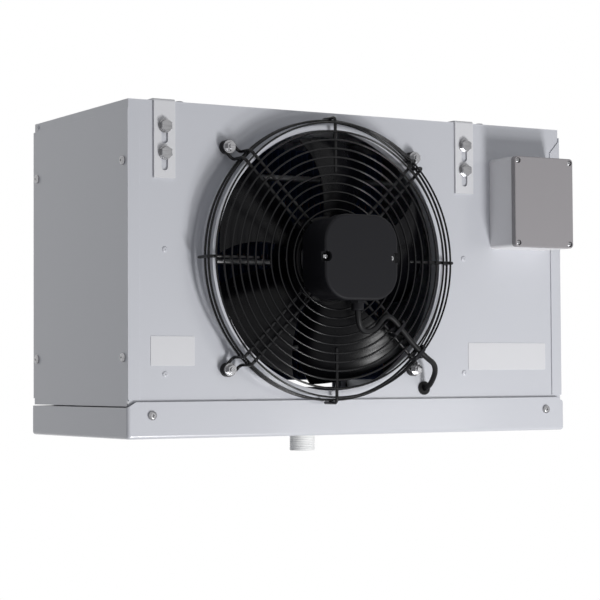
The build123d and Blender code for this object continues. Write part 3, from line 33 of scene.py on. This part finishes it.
RING_COUNT = 11
RING_FIRST_R = 61.5
RING_PITCH = 10.65
RING_LEVEL = 39.0               # in front of the panel
RING_WIRE_R = 1.25
RIM_R = 171.4
RIM_LEVELS = (17.5, 26.0)
RIM_WIRE_R = 1.5
SPOKE_WIRE_R = 2.0
SPOKE_LEVEL = RING_LEVEL - RING_WIRE_R - SPOKE_WIRE_R
SPOKE_INNER_R = 30.0
SPOKE_HALF_GAP = 6.7
STAY_INNER_R = 109.0
STAY_FOOT = 9.0
BEND_R = RIM_R + RIM_WIRE_R + SPOKE_WIRE_R
FOOT_LEVEL = 8.0
STUD_R = 134.0 * 2 ** 0.5

CABLE_R = 3.45
CABLE_LEVEL = RING_LEVEL + RING_WIRE_R + 3.5 + 0.8
TIE_RADII = (RING_FIRST_R + 5.5 * RING_PITCH, RING_FIRST_R + 9.5 * RING_PITCH)

CABLE_START = -63.0             # below the fan's axis, at the gland
GLAND = (14.0, 62.0)
CABLE_HOLE = (152.4, -158.1)
CABLE_ROUTE = (                  # (across, in front of the panel, up) from the fan's axis
    (GLAND[0], GLAND[1], CABLE_START + 12),
    (GLAND[0], GLAND[1], CABLE_START - 9),
    (GLAND[0] + 7, GLAND[1] - 4, CABLE_START - 23),
    (GLAND[0] + 21, GLAND[1] - 8, CABLE_START - 26),
    (GLAND[0] + 36, GLAND[1] - 13, CABLE_START - 20),
    (GLAND[0] + 47, GLAND[1] - 16, CABLE_START - 8),
    (72, CABLE_LEVEL + 0.5, -68),
    (87, CABLE_LEVEL, -82),
    (106, CABLE_LEVEL, -103),
    (128, CABLE_LEVEL, -121),
    (144, 36, -127),
    (153, 26, -137),
    (154, 17, -149),
    (CABLE_HOLE[0], 9, CABLE_HOLE[1] + 0.3),
    (CABLE_HOLE[0], -7, CABLE_HOLE[1]),
)

DRAIN_X = 54.0
DRAIN_R = 16.6
DRAIN_REACH = 24.0
DRAIN_BORE_R = 12.5

CAMERA_AT = (-1267.7, -2217.7, -329.5)
CAMERA_YAW = 0.5367
CAMERA_PITCH = 0.0386
CAMERA_ROLL = -0.0054
CAMERA_LENS = 118.2

AMBIENT = 0.29                  # strength of the world's soft light
FLOOR_Z = -1.9                  # metres
FLOOR_HALF = 30.0               # metres
WIRE_BEND = 5.0                 # radius of the guard wire's bends


# ------------------------------------------------------------------ meshes
def new_piece(name, verts, faces, material, body="cooler", replaced=(), finish=None, smooth=True):
    """One finished piece: a mesh from points in millimetres, its finish, and the body it rides on."""
    mesh = bpy.data.meshes.new(name)
    mesh.from_pydata((np.asarray(verts, float) * MM).tolist(), [], [list(map(int, f)) for f in faces])
    mesh.validate()
    mesh.shade_smooth() if smooth else mesh.shade_flat()
    piece = bpy.data.objects.new(name, mesh)
    bpy.context.scene.collection.objects.link(piece)
    mesh.materials.append(material)
    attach(piece, body)
    if replaced:
        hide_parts(*replaced)
    return piece


def grid_faces(rows, columns, wrap_rows=False, wrap_columns=True):
    """Quads of a grid of rows x columns points, stored row by row, closed round where it wraps."""
    i = np.arange(rows if wrap_rows else rows - 1)
    j = np.arange(columns if wrap_columns else columns - 1)
    a, b = np.meshgrid(i, j, indexing="ij")
    below, beside = (a + 1) % rows, (b + 1) % columns
    quads = [a * columns + b, a * columns + beside, below * columns + beside, below * columns + b]
    return np.stack(quads, -1).reshape(-1, 4)


def joined(parts):
    """Several (verts, faces) pairs as one pair: each part's faces count on from the points before it."""
    verts, faces, start = [], [], 0
    for v, f in parts:
        verts.append(np.asarray(v, float))
        faces += [tuple(int(k) + start for k in face) for face in f]
        start += len(v)
    return np.concatenate(verts), faces


def fan_frame(angle):
    """Unit vectors at the fan: outwards at `angle` in degrees, sideways, and out of the front panel."""
    a = np.radians(angle)
    return np.array([np.cos(a), 0, np.sin(a)]), np.array([-np.sin(a), 0, np.cos(a)]), np.array([0, -1.0, 0])


def torus(radius, level, wire_r, around=224, section=12):
    """A ring of round wire about the fan's axis.

    A point at angle u round the axis and v round the wire lies at distance radius + wire_r cos v
    from the axis and level + wire_r sin v in front of the panel."""
    u = np.linspace(0, 2 * np.pi, around, endpoint=False)[:, None]
    v = np.linspace(0, 2 * np.pi, section, endpoint=False)[None, :]
    r = radius + wire_r * np.cos(v)
    x = r * np.cos(u)
    z = FAN_Z + r * np.sin(u)
    y = PANEL_Y - (level + wire_r * np.sin(v)) + 0 * u
    return np.stack([x, y, z], -1).reshape(-1, 3), grid_faces(around, section, wrap_rows=True)


def rounded_path(corners, radii, steps=7):
    """A polyline whose corners become arcs.

    At each inner corner the arc of the given radius starts and ends at radius x tan(half turn) from
    the corner, and its points are the circle's centre plus the two start directions turned evenly."""
    p = [np.asarray(c, float) for c in corners]
    out = [p[0][None]]
    for before, here, after, radius in zip(p, p[1:], p[2:], radii):
        a, b = (before - here), (after - here)
        a, b = a / np.linalg.norm(a), b / np.linalg.norm(b)
        turn = np.pi - np.arccos(np.clip(a @ b, -1, 1))
        reach = radius * np.tan(turn / 2)
        start, centre_dir = here + a * reach, (a + b) / np.linalg.norm(a + b)
        centre = here + centre_dir * np.hypot(radius, reach)
        e1 = (start - centre) / radius
        e2 = -a
        t = np.linspace(0, turn, steps)[:, None]
        out.append(centre + radius * (np.cos(t) * e1 + np.sin(t) * e2))
    out.append(p[-1][None])
    return np.concatenate(out)


def tube(path, radius, section=12, ends=True):
    """A round tube along a path, with domed ends.

    At each point the section is a circle square to the local direction; its frame is carried from
    point to point by removing the new direction's share, so that it doesn't twist. Each end gets
    three shrinking circles, radius x cos t at radius x sin t beyond the end."""
    path = np.asarray(path, float)
    keep = np.r_[True, np.linalg.norm(np.diff(path, axis=0), axis=1) > 1e-6]
    path = path[keep]
    tangent = np.gradient(path, axis=0)
    tangent /= np.linalg.norm(tangent, axis=1)[:, None]
    scale = np.ones(len(path))
    if ends:
        t = np.array([0.5, 1.0, 1.45])
        head = path[0] - tangent[0] * radius * np.sin(t[::-1, None])
        tail = path[-1] + tangent[-1] * radius * np.sin(t[:, None])
        path = np.concatenate([head, path, tail])
        tangent = np.concatenate([np.repeat(tangent[:1], 3, 0), tangent, np.repeat(tangent[-1:], 3, 0)])
        scale = np.concatenate([np.cos(t[::-1]), scale, np.cos(t)])
    side = np.cross(tangent[0], [0.31, 0.52, 0.79])
    side /= np.linalg.norm(side)
    sides = []
    for direction in tangent:
        side = side - direction * (side @ direction)
        side = side / np.linalg.norm(side)
        sides.append(side)
    sides = np.array(sides)
    other = np.cross(tangent, sides)
    v = np.linspace(0, 2 * np.pi, section, endpoint=False)
    ring = np.cos(v)[None, :, None] * sides[:, None] + np.sin(v)[None, :, None] * other[:, None]
    points = path[:, None] + radius * scale[:, None, None] * ring
    faces = [tuple(f) for f in grid_faces(len(path), section)]
    last = (len(path) - 1) * section
    faces.append(tuple(range(section - 1, -1, -1)))
    faces.append(tuple(last + k for k in range(section)))
    return points.reshape(-1, 3), faces


# ------------------------------------------------------------------ shader node groups
def new_group(name, inputs, outputs):
    """An empty shader group with float or colour sockets: {name: default}, and its two end nodes."""
    group = bpy.data.node_groups.new(name, "ShaderNodeTree")
    for label, default in inputs.items():
        kind = "NodeSocketColor" if isinstance(default, tuple) else "NodeSocketFloat"
        socket = group.interface.new_socket(label, in_out="INPUT", socket_type=kind)
        socket.default_value = default
    for label, kind in outputs.items():
        group.interface.new_socket(label, in_out="OUTPUT", socket_type=kind)
    return group, group.nodes.new("NodeGroupInput"), group.nodes.new("NodeGroupOutput")


def maths(tree, operation, a, b=0.0, clamp=False):
    """One Math node whose inputs are sockets or numbers."""
    node = tree.nodes.new("ShaderNodeMath")
    node.operation = operation
    node.use_clamp = clamp
    for slot, value in zip(node.inputs, (a, b)):
        if hasattr(value, "is_output"):
            tree.links.new(value, slot)
        else:
            slot.default_value = value
    return node.outputs[0]


def noise(tree, scale, detail=2.0, stretch=(1, 1, 1), roughness=0.5):
    """Noise on Object coordinates, stretched by a Mapping node. `scale` is a socket or a number."""
    place = tree.nodes.new("ShaderNodeTexCoord")
    mapping = tree.nodes.new("ShaderNodeMapping")
    mapping.inputs["Scale"].default_value = stretch
    texture = tree.nodes.new("ShaderNodeTexNoise")
    texture.inputs["Detail"].default_value = detail
    texture.inputs["Roughness"].default_value = roughness
    tree.links.new(place.outputs["Object"], mapping.inputs["Vector"])
    tree.links.new(mapping.outputs["Vector"], texture.inputs["Vector"])
    if hasattr(scale, "is_output"):
        tree.links.new(scale, texture.inputs["Scale"])
    else:
        texture.inputs["Scale"].default_value = scale
    return texture.outputs["Fac"]


def mixed(tree, share, a, b):
    """A colour Mix node: share 0 gives a, 1 gives b. All are sockets or values."""
    node = tree.nodes.new("ShaderNodeMix")
    node.data_type = "RGBA"
    factor, first, second = node.inputs[0], node.inputs[6], node.inputs[7]
    for slot, value in ((factor, share), (first, a), (second, b)):
        if hasattr(value, "is_output"):
            tree.links.new(value, slot)
        else:
            slot.default_value = value if not isinstance(value, tuple) else (*value[:3], 1.0)
    return node.outputs[2]


def surface_group():
    """Fine relief, roughness and tone of a surface: a coarse and a fine noise, mixed by the inputs."""
    group, given, made = new_group(
        "fine_surface",
        {"Colour": (0.5, 0.5, 0.5, 1.0), "Dirt colour": (0.2, 0.2, 0.2, 1.0), "Grain scale": 400.0,
         "Tone share": 0.05, "Dirt share": 0.05, "Roughness": 0.4, "Roughness spread": 0.06},
        {"Colour": "NodeSocketColor", "Roughness": "NodeSocketFloat", "Height": "NodeSocketFloat"},
    )
    coarse = noise(group, 3.0, 2.0)
    patch = noise(group, 24.0, 6.0, roughness=0.7)
    fine = noise(group, given.outputs["Grain scale"], 3.0)
    tone = maths(group, "MULTIPLY", maths(group, "SUBTRACT", coarse, 0.3, True), given.outputs["Tone share"])
    toned = mixed(group, tone, given.outputs["Colour"], given.outputs["Dirt colour"])
    spots = maths(group, "MULTIPLY", maths(group, "SUBTRACT", patch, 0.62, True), 6.0, True)
    dirty = mixed(group, maths(group, "MULTIPLY", spots, given.outputs["Dirt share"]), toned,
                  given.outputs["Dirt colour"])
    swing = maths(group, "MULTIPLY", maths(group, "SUBTRACT", patch, 0.5), given.outputs["Roughness spread"])
    grainy = maths(group, "MULTIPLY", maths(group, "SUBTRACT", fine, 0.5), given.outputs["Roughness spread"])
    rough = maths(group, "ADD", given.outputs["Roughness"], maths(group, "ADD", swing, grainy), True)
    group.links.new(dirty, made.inputs["Colour"])
    group.links.new(rough, made.inputs["Roughness"])
    group.links.new(fine, made.inputs["Height"])
    return group


def streak_group():
    """Brushed or drawn metal: noise stretched along one axis gives fine lines of tone and relief."""
    group, given, made = new_group(
        "metal_streaks",
        {"Colour": (0.6, 0.6, 0.6, 1.0), "Dark colour": (0.3, 0.3, 0.3, 1.0), "Streak share": 0.3,
         "Roughness": 0.3, "Roughness spread": 0.15, "Scale": 60.0},
        {"Colour": "NodeSocketColor", "Roughness": "NodeSocketFloat", "Height": "NodeSocketFloat"},
    )
    lines = noise(group, given.outputs["Scale"], 4.0, stretch=(0.35, 1.0, 6.0))
    cloud = noise(group, 22.0, 4.0)
    tone = maths(group, "MULTIPLY", maths(group, "ADD", lines, cloud), 0.5)
    colour = mixed(group, maths(group, "MULTIPLY", tone, given.outputs["Streak share"]),
                   given.outputs["Colour"], given.outputs["Dark colour"])
    swing = maths(group, "MULTIPLY", maths(group, "SUBTRACT", tone, 0.5), given.outputs["Roughness spread"])
    rough = maths(group, "ADD", given.outputs["Roughness"], swing, True)
    group.links.new(colour, made.inputs["Colour"])
    group.links.new(rough, made.inputs["Roughness"])
    group.links.new(lines, made.inputs["Height"])
    return group


def edge_group():
    """Where to paint a highlight along edges: how near a point is to an edge.

    It is 1 where the rounded normal leaves the true one, broken up by noise."""
    group, given, made = new_group(
        "painted_edge_highlight", {"Reach": 0.0012, "Breakup": 60.0}, {"Mask": "NodeSocketFloat"}
    )
    geometry = group.nodes.new("ShaderNodeNewGeometry")
    rounded = group.nodes.new("ShaderNodeBevel")
    rounded.samples = 4
    group.links.new(given.outputs["Reach"], rounded.inputs["Radius"])
    apart = group.nodes.new("ShaderNodeVectorMath")
    apart.operation = "DOT_PRODUCT"
    group.links.new(rounded.outputs["Normal"], apart.inputs[0])
    group.links.new(geometry.outputs["Normal"], apart.inputs[1])
    sharp = maths(group, "MULTIPLY", maths(group, "SUBTRACT", 0.97, apart.outputs["Value"], True), 6.0, True)
    spots = maths(group, "SUBTRACT", noise(group, given.outputs["Breakup"], 4.0), 0.4, True)
    broken = maths(group, "MULTIPLY", spots, 3.0, True)
    group.links.new(maths(group, "MULTIPLY", sharp, broken, True), made.inputs["Mask"])
    return group


# ------------------------------------------------------------------ materials
def begin_material(name):
    """A node material with only its Principled shader, and that shader."""
    material = bpy.data.materials.new(name)
    material.use_nodes = True
    return material, material.node_tree, material.node_tree.nodes["Principled BSDF"]


def add_group(tree, group, **values):
    """Place a group in a material with its own values; underscores in names stand for spaces."""
    node = tree.nodes.new("ShaderNodeGroup")
    node.node_tree = group
    for label, value in values.items():
        socket = node.inputs[label.replace("_", " ")]
        socket.default_value = (*value, 1.0) if isinstance(value, tuple) else value
    return node


def add_bump(tree, shader, height, strength, distance):
    """Relief from a height socket, in the shader's Normal."""
    bump = tree.nodes.new("ShaderNodeBump")
    bump.inputs["Strength"].default_value = strength
    bump.inputs["Distance"].default_value = distance
    tree.links.new(height, bump.inputs["Height"])
    tree.links.new(bump.outputs["Normal"], shader.inputs["Normal"])


def coated(name, colour, rough, grain, relief, dirt=(0.25, 0.24, 0.22), tone=0.06, dirt_share=0.05,
           spread=0.08, specular=0.5, coat=0.0, distance=0.0004):
    """Paint, powder coat, plastic or rubber: tone and dirt from the surface group, relief from its grain, and
    a painted highlight along edges.
    """
    material, tree, shader = begin_material(name)
    surface = add_group(tree, GROUPS["surface"], Colour=colour, Dirt_colour=dirt, Grain_scale=grain,
                        Tone_share=tone, Dirt_share=dirt_share, Roughness=rough, Roughness_spread=spread)
    # painted highlight: near edges the colour turns to a paler copy of itself, broken up by noise
    edge = add_group(tree, GROUPS["edge"])
    painted_edge_highlight_colour = tuple(min(1.0, c * 1.25 + 0.02) for c in colour)
    tree.links.new(mixed(tree, edge.outputs["Mask"], surface.outputs["Colour"], painted_edge_highlight_colour),
                   shader.inputs["Base Color"])
    tree.links.new(surface.outputs["Roughness"], shader.inputs["Roughness"])
    shader.inputs["Specular IOR Level"].default_value = specular
    shader.inputs["Coat Weight"].default_value = coat
    shader.inputs["Coat Roughness"].default_value = 0.12
    add_bump(tree, shader, surface.outputs["Height"], relief, distance)
    return material


def metal(name, colour, dark, rough, streaks=0.35, scale=60.0, relief=0.12, spread=0.18):
    """Bare or plated metal: streaks of tone and roughness from the streak group."""
    material, tree, shader = begin_material(name)
    lines = add_group(tree, GROUPS["streak"], Colour=colour, Dark_colour=dark, Streak_share=streaks,
                      Roughness=rough, Roughness_spread=spread, Scale=scale)
    tree.links.new(lines.outputs["Colour"], shader.inputs["Base Color"])
    tree.links.new(lines.outputs["Roughness"], shader.inputs["Roughness"])
    shader.inputs["Metallic"].default_value = 1.0
    add_bump(tree, shader, lines.outputs["Height"], relief, 0.0002)
    return material


def all_finishes():
    """Every finish on the cooler by its short name."""
    return {
        "white_powder": coated("white_powder_coat", (0.60, 0.61, 0.65), 0.30, 520.0, 0.07, tone=0.035,
                               dirt_share=0.025, spread=0.03, coat=0.35),
        "galvanised": metal("galvanised_strip", (0.34, 0.35, 0.37), (0.16, 0.165, 0.175), 0.55, scale=35.0),
        "zinc": metal("bright_zinc", (0.62, 0.62, 0.64), (0.02, 0.02, 0.02), 0.22, streaks=1.0, scale=240.0),
        "aluminium": metal("bare_aluminium", (0.70, 0.71, 0.73), (0.45, 0.46, 0.48), 0.4),
        "blue_fin": coated("blue_coated_fin", (0.035, 0.06, 0.16), 0.5, 800.0, 0.05, dirt=(0.02, 0.02, 0.03),
                           specular=0.15),
        "copper": metal("dull_copper", (0.40, 0.20, 0.12), (0.14, 0.07, 0.045), 0.45),
        "brass": metal("turned_brass", (0.78, 0.60, 0.32), (0.48, 0.34, 0.15), 0.28),
        "steel": metal("drawn_steel", (0.52, 0.52, 0.53), (0.28, 0.28, 0.29), 0.32),
        "black_wire": coated("black_coated_wire", (0.003, 0.003, 0.004), 0.16, 900.0, 0.08,
                             dirt=(0.01, 0.01, 0.01), specular=0.22),
        "black_paint": coated("gloss_black_paint", (0.001, 0.001, 0.002), 0.26, 300.0, 0.03,
                              dirt=(0.004, 0.004, 0.006), specular=0.16),
        "black_plastic": coated("black_moulded_plastic", (0.006, 0.006, 0.008), 0.5, 1500.0, 0.16,
                                dirt=(0.02, 0.02, 0.02), specular=0.15),
        "rubber": coated("black_rubber", (0.004, 0.004, 0.005), 0.42, 1200.0, 0.12, dirt=(0.012, 0.012, 0.012),
                         specular=0.18),
        "grey_lid": coated("warm_grey_lid", (0.31, 0.295, 0.305), 0.4, 1300.0, 0.12),
        "grey_box": coated("pale_grey_box", (0.86, 0.85, 0.86), 0.42, 1300.0, 0.12),
        "white_plastic": coated("white_moulded_plastic", (0.86, 0.86, 0.85), 0.38, 900.0, 0.10),
        "label": coated("blank_label", (0.72, 0.72, 0.74), 0.3, 700.0, 0.05),
        "hanger": coated("hanger_enamel", (0.74, 0.74, 0.76), 0.3, 600.0, 0.06, tone=0.05, coat=0.3),
    }


FINISH_OF_NODE = {
    "white_powder": ("front_panel", "roof_panel", "rear_panel", "left_side_panel", "right_side_panel",
                     "drip_tray", "casing_rivets"),
    "galvanised": ("tube_sheet_left", "tube_sheet_right", "hinge_casing_leaves", "hinge_tray_leaves",
                   "hinge_pins"),
    "hanger": ("hanger_front_left", "hanger_front_right", "hanger_rear_left", "hanger_rear_right"),
    "zinc": ("hanger_bolts", "hanger_washers", "guard_nuts", "guard_studs", "left_panel_screws",
             "right_panel_screws", "tray_screws", "lid_screws", "terminal_cover_screws", "motor_screws"),
    "aluminium": ("inner_drip_pan", "motor_flange"),
    "blue_fin": ("coil_fins",),
    "copper": ("coil_tubes", "return_bends", "suction_header", "liquid_line"),
    "brass": ("liquid_distributor",),
    "steel": ("defrost_heaters", "rotor_shaft", "motor_bearings", "stator_core"),
    "black_paint": ("rotor_can", "hub_ring", "fan_blades"),
    "black_plastic": ("terminal_base", "terminal_cover", "motor_gland", "supply_gland", "cable_ties"),
    "rubber": ("guard_bushes", "panel_grommet", "lid_gasket"),
    "grey_lid": ("junction_box_lid",),
    "grey_box": ("junction_box_base",),
    "white_plastic": ("drain_spigot", "drain_locknut", "terminal_block"),
    "label": ("blank_plates",),
}


def dress_nodes(frame, finishes):
    """Give each carried-over node its finish in place of the plain one it came with."""
    for finish, names in FINISH_OF_NODE.items():
        for name in names:
            mesh = frame["nodes"][name].data
            mesh.materials.clear()
            mesh.materials.append(finishes[finish])


# ------------------------------------------------------------------ guard
def make_guard(finishes):
    """Face rings, rim rings, double spokes and short stays of round black wire."""
    wire = finishes["black_wire"]
    rings = joined([torus(RING_FIRST_R + k * RING_PITCH, RING_LEVEL, RING_WIRE_R, around=200, section=10)
                    for k in range(RING_COUNT)])
    new_piece("guard_rings_wire", *rings, wire, replaced=["guard_face_rings"], finish="black_wire")
    rims = joined([torus(RIM_R, level, RIM_WIRE_R) for level in RIM_LEVELS])
    new_piece("guard_rims_wire", *rims, wire, replaced=["guard_rim_rings"], finish="black_wire")

    centre = np.array([0, PANEL_Y, FAN_Z])
    spokes = []
    for angle in (45, 135, 225, 315):
        out, side, front = fan_frame(angle)

        def at(r, s, level):
            return centre + out * r + side * s + front * level

        g = SPOKE_HALF_GAP
        leg = [at(SPOKE_INNER_R, g, SPOKE_LEVEL), at(BEND_R, g, SPOKE_LEVEL), at(BEND_R, g, FOOT_LEVEL),
               at(STUD_R, g, FOOT_LEVEL)]
        first = rounded_path(leg, (WIRE_BEND, WIRE_BEND))
        turn = np.linspace(0, np.pi, 16)[1:-1]
        loop = np.array([at(STUD_R + g * np.sin(t), g * np.cos(t), FOOT_LEVEL) for t in turn])
        mirror = [at(STUD_R, -g, FOOT_LEVEL), at(BEND_R, -g, FOOT_LEVEL), at(BEND_R, -g, SPOKE_LEVEL),
                  at(SPOKE_INNER_R, -g, SPOKE_LEVEL)]
        second = rounded_path(mirror, (WIRE_BEND, WIRE_BEND))
        spokes.append(tube(np.concatenate([first, loop, second]), SPOKE_WIRE_R, 14))
    new_piece("guard_spokes_wire", *joined(spokes), wire, replaced=["guard_spokes"], finish="black_wire")

    stays = []
    for angle in (0, 90, 180, 270):
        out, _, front = fan_frame(angle)
        points = [centre + out * STAY_INNER_R + front * SPOKE_LEVEL,
                  centre + out * BEND_R + front * SPOKE_LEVEL,
                  centre + out * BEND_R + front * STAY_FOOT]
        stays.append(tube(rounded_path(points, (WIRE_BEND,)), SPOKE_WIRE_R, 14))
    new_piece("guard_stays_wire", *joined(stays), wire, replaced=["guard_stays"], finish="black_wire")


# ------------------------------------------------------------------ motor lead
def make_cable(finishes):
    """The motor's lead: one smooth NURBS line through its route, given a round section."""
    curve = bpy.data.curves.new("motor_lead", "CURVE")
    curve.dimensions = "3D"
    spline = curve.splines.new("NURBS")
    spline.points.add(len(CABLE_ROUTE) - 1)
    for point, (across, level, rise) in zip(spline.points, CABLE_ROUTE):
        point.co = (across * MM, (PANEL_Y - level) * MM, (FAN_Z + rise) * MM, 1.0)
    spline.order_u = 3
    spline.use_endpoint_u = True
    spline.resolution_u = 10
    curve.bevel_depth = CABLE_R * MM
    curve.bevel_resolution = 5
    curve.materials.append(finishes["rubber"])
    lead = bpy.data.objects.new("motor_lead", curve)
    bpy.context.scene.collection.objects.link(lead)
    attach(lead, "cooler")
    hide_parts("motor_cable")


# ------------------------------------------------------------------ drain stub
def make_drain(finishes):
    """The drain stub: a threaded spigot with a plain lip, and a smooth bore.

    Its outer radius is the thread's root plus a rounded ridge that climbs one pitch for each turn,
    fading in and out at both ends; inside it comes back up at the bore's radius."""
    around, pitch, depth = 96, 2.3, 0.7
    top, bottom = TRAY_BASE_Z + 2.1, TRAY_BASE_Z - DRAIN_REACH
    z = np.linspace(top, bottom + 1.2, 150)[:, None]
    u = np.linspace(0, 2 * np.pi, around, endpoint=False)[None, :]
    ridge = 0.5 + 0.5 * np.cos(2 * np.pi * z / pitch - u)
    fade = np.clip((z - bottom - 2.5) / 2.0, 0, 1) * np.clip((TRAY_BASE_Z - 4.0 - z) / 1.0, 0, 1)
    r = DRAIN_R - depth * fade * (1 - ridge)
    outer = np.stack([DRAIN_X + r * np.cos(u), r * np.sin(u), z + 0 * u], -1)
    lip = [(DRAIN_R - 0.9, bottom + 0.3), (DRAIN_R - 1.6, bottom), (DRAIN_BORE_R + 0.5, bottom),
           (DRAIN_BORE_R, bottom + 0.5), (DRAIN_BORE_R, top + 3.0), (DRAIN_R + 7.0, top + 3.0),
           (DRAIN_R + 7.0, top)]
    rest = np.array([np.stack([DRAIN_X + rr * np.cos(u[0]), rr * np.sin(u[0]), zz + 0 * u[0]], -1)
                     for rr, zz in lip])
    points = np.concatenate([outer, rest])
    faces = [tuple(f[::-1]) for f in grid_faces(len(points), around, wrap_rows=True)]
    new_piece("drain_stub_threaded", points.reshape(-1, 3), faces, finishes["white_plastic"], body="tray",
              replaced=["drain_spigot"], finish="white_plastic")


# ------------------------------------------------------------------ stage, light and camera
def make_stage():
    """A pale floor well below the hanging cooler, and a world that shows white and lights softly."""
    mesh = bpy.data.meshes.new("floor")
    corners = [(x * FLOOR_HALF, y * FLOOR_HALF, FLOOR_Z) for x, y in ((-1, -1), (1, -1), (1, 1), (-1, 1))]
    mesh.from_pydata(corners, [], [(0, 1, 2, 3)])
    floor = bpy.data.objects.new("floor", mesh)
    bpy.context.scene.collection.objects.link(floor)
    material, tree, shader = begin_material("pale_floor")
    shader.inputs["Base Color"].default_value = (0.8, 0.8, 0.8, 1)
    shader.inputs["Roughness"].default_value = 0.9
    light = tree.nodes.new("ShaderNodeEmission")
    light.inputs["Color"].default_value = (1, 1, 1, 1)
    mix = tree.nodes.new("ShaderNodeMixShader")
    tree.links.new(seen_directly(tree), mix.inputs["Fac"])
    tree.links.new(shader.outputs["BSDF"], mix.inputs[1])
    tree.links.new(light.outputs["Emission"], mix.inputs[2])
    tree.links.new(mix.outputs["Shader"], tree.nodes["Material Output"].inputs["Surface"])
    mesh.materials.append(material)

    world = bpy.data.worlds.new("studio")
    bpy.context.scene.world = world
    world.use_nodes = True
    tree = world.node_tree
    soft = tree.nodes["Background"]
    soft.inputs["Color"].default_value = (0.93, 0.95, 1.0, 1)
    soft.inputs["Strength"].default_value = AMBIENT
    white = tree.nodes.new("ShaderNodeBackground")
    white.inputs["Color"].default_value = (1, 1, 1, 1)
    mix = tree.nodes.new("ShaderNodeMixShader")
    tree.links.new(seen_directly(tree), mix.inputs["Fac"])
    tree.links.new(soft.outputs["Background"], mix.inputs[1])
    tree.links.new(white.outputs["Background"], mix.inputs[2])
    tree.links.new(mix.outputs["Shader"], tree.nodes["World Output"].inputs["Surface"])


def seen_directly(tree):
    """1 for camera, mirror and glass rays, 0 for the rays that light a surface."""
    path = tree.nodes.new("ShaderNodeLightPath")
    seen = maths(tree, "MAXIMUM", path.outputs["Is Camera Ray"], path.outputs["Is Glossy Ray"])
    return maths(tree, "MAXIMUM", seen, path.outputs["Is Transmission Ray"])


def add_softbox(name, place, aim, size, power, colour=(1, 1, 1)):
    """A rectangular area lamp at `place`, turned to face `aim`; metres and watts."""
    lamp = bpy.data.lights.new(name, "AREA")
    lamp.shape = "RECTANGLE"
    lamp.size, lamp.size_y = size
    lamp.energy = power
    lamp.color = colour
    item = bpy.data.objects.new(name, lamp)
    bpy.context.scene.collection.objects.link(item)
    item.location = place
    item.rotation_mode = "QUATERNION"
    item.rotation_quaternion = (Vector(aim) - Vector(place)).to_track_quat("-Z", "Y")


def make_lights():
    """Two lamps from the lower right in front, and a faint strip that glints on the tray."""
    middle = (0.05, -0.1, -0.2)
    add_softbox("key", (0.55, -1.75, -1.40), middle, (0.36, 0.36), 19.0)
    add_softbox("low", (0.48, -1.92, -1.05), middle, (0.36, 0.30), 10.0)
    add_softbox("glint", (1.42, -2.2, -0.46), middle, (0.5, 0.16), 1.2)


def make_camera():
    """The camera: yaw turns it to the right, pitch lifts it and roll leans it, about its own place."""
    yaw, pitch, roll = CAMERA_YAW, CAMERA_PITCH, CAMERA_ROLL
    forward = Vector((np.sin(yaw) * np.cos(pitch), np.cos(yaw) * np.cos(pitch), np.sin(pitch)))
    level = Vector((np.cos(yaw), -np.sin(yaw), 0))
    upright = level.cross(forward)
    right = np.cos(roll) * level + np.sin(roll) * upright
    up = -np.sin(roll) * level + np.cos(roll) * upright
    turn = Matrix((right, up, -forward)).transposed().to_4x4()
    camera = bpy.data.objects.new("camera", bpy.data.cameras.new("camera"))
    bpy.context.scene.collection.objects.link(camera)
    camera.matrix_world = Matrix.Translation(Vector(CAMERA_AT) * MM) @ turn
    camera.data.lens = CAMERA_LENS
    camera.data.sensor_width = 36.0
    camera.data.clip_start = 0.05
    camera.data.clip_end = 100.0
    bpy.context.scene.camera = camera


# ------------------------------------------------------------------ the scene
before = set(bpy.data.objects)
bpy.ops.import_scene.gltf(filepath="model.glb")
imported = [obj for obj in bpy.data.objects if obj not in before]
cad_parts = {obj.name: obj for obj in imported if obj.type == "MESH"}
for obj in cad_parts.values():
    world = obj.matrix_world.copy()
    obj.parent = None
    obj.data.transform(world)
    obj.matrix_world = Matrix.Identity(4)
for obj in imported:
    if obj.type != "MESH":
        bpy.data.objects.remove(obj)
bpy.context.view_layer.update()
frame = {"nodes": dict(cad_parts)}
GROUPS = {"surface": surface_group(), "streak": streak_group(), "edge": edge_group()}
finishes = all_finishes()
dress_nodes(frame, finishes)
make_guard(finishes)
make_cable(finishes)
make_drain(finishes)
make_stage()
make_lights()
make_camera()
bpy.context.scene.view_settings.view_transform = "Standard"
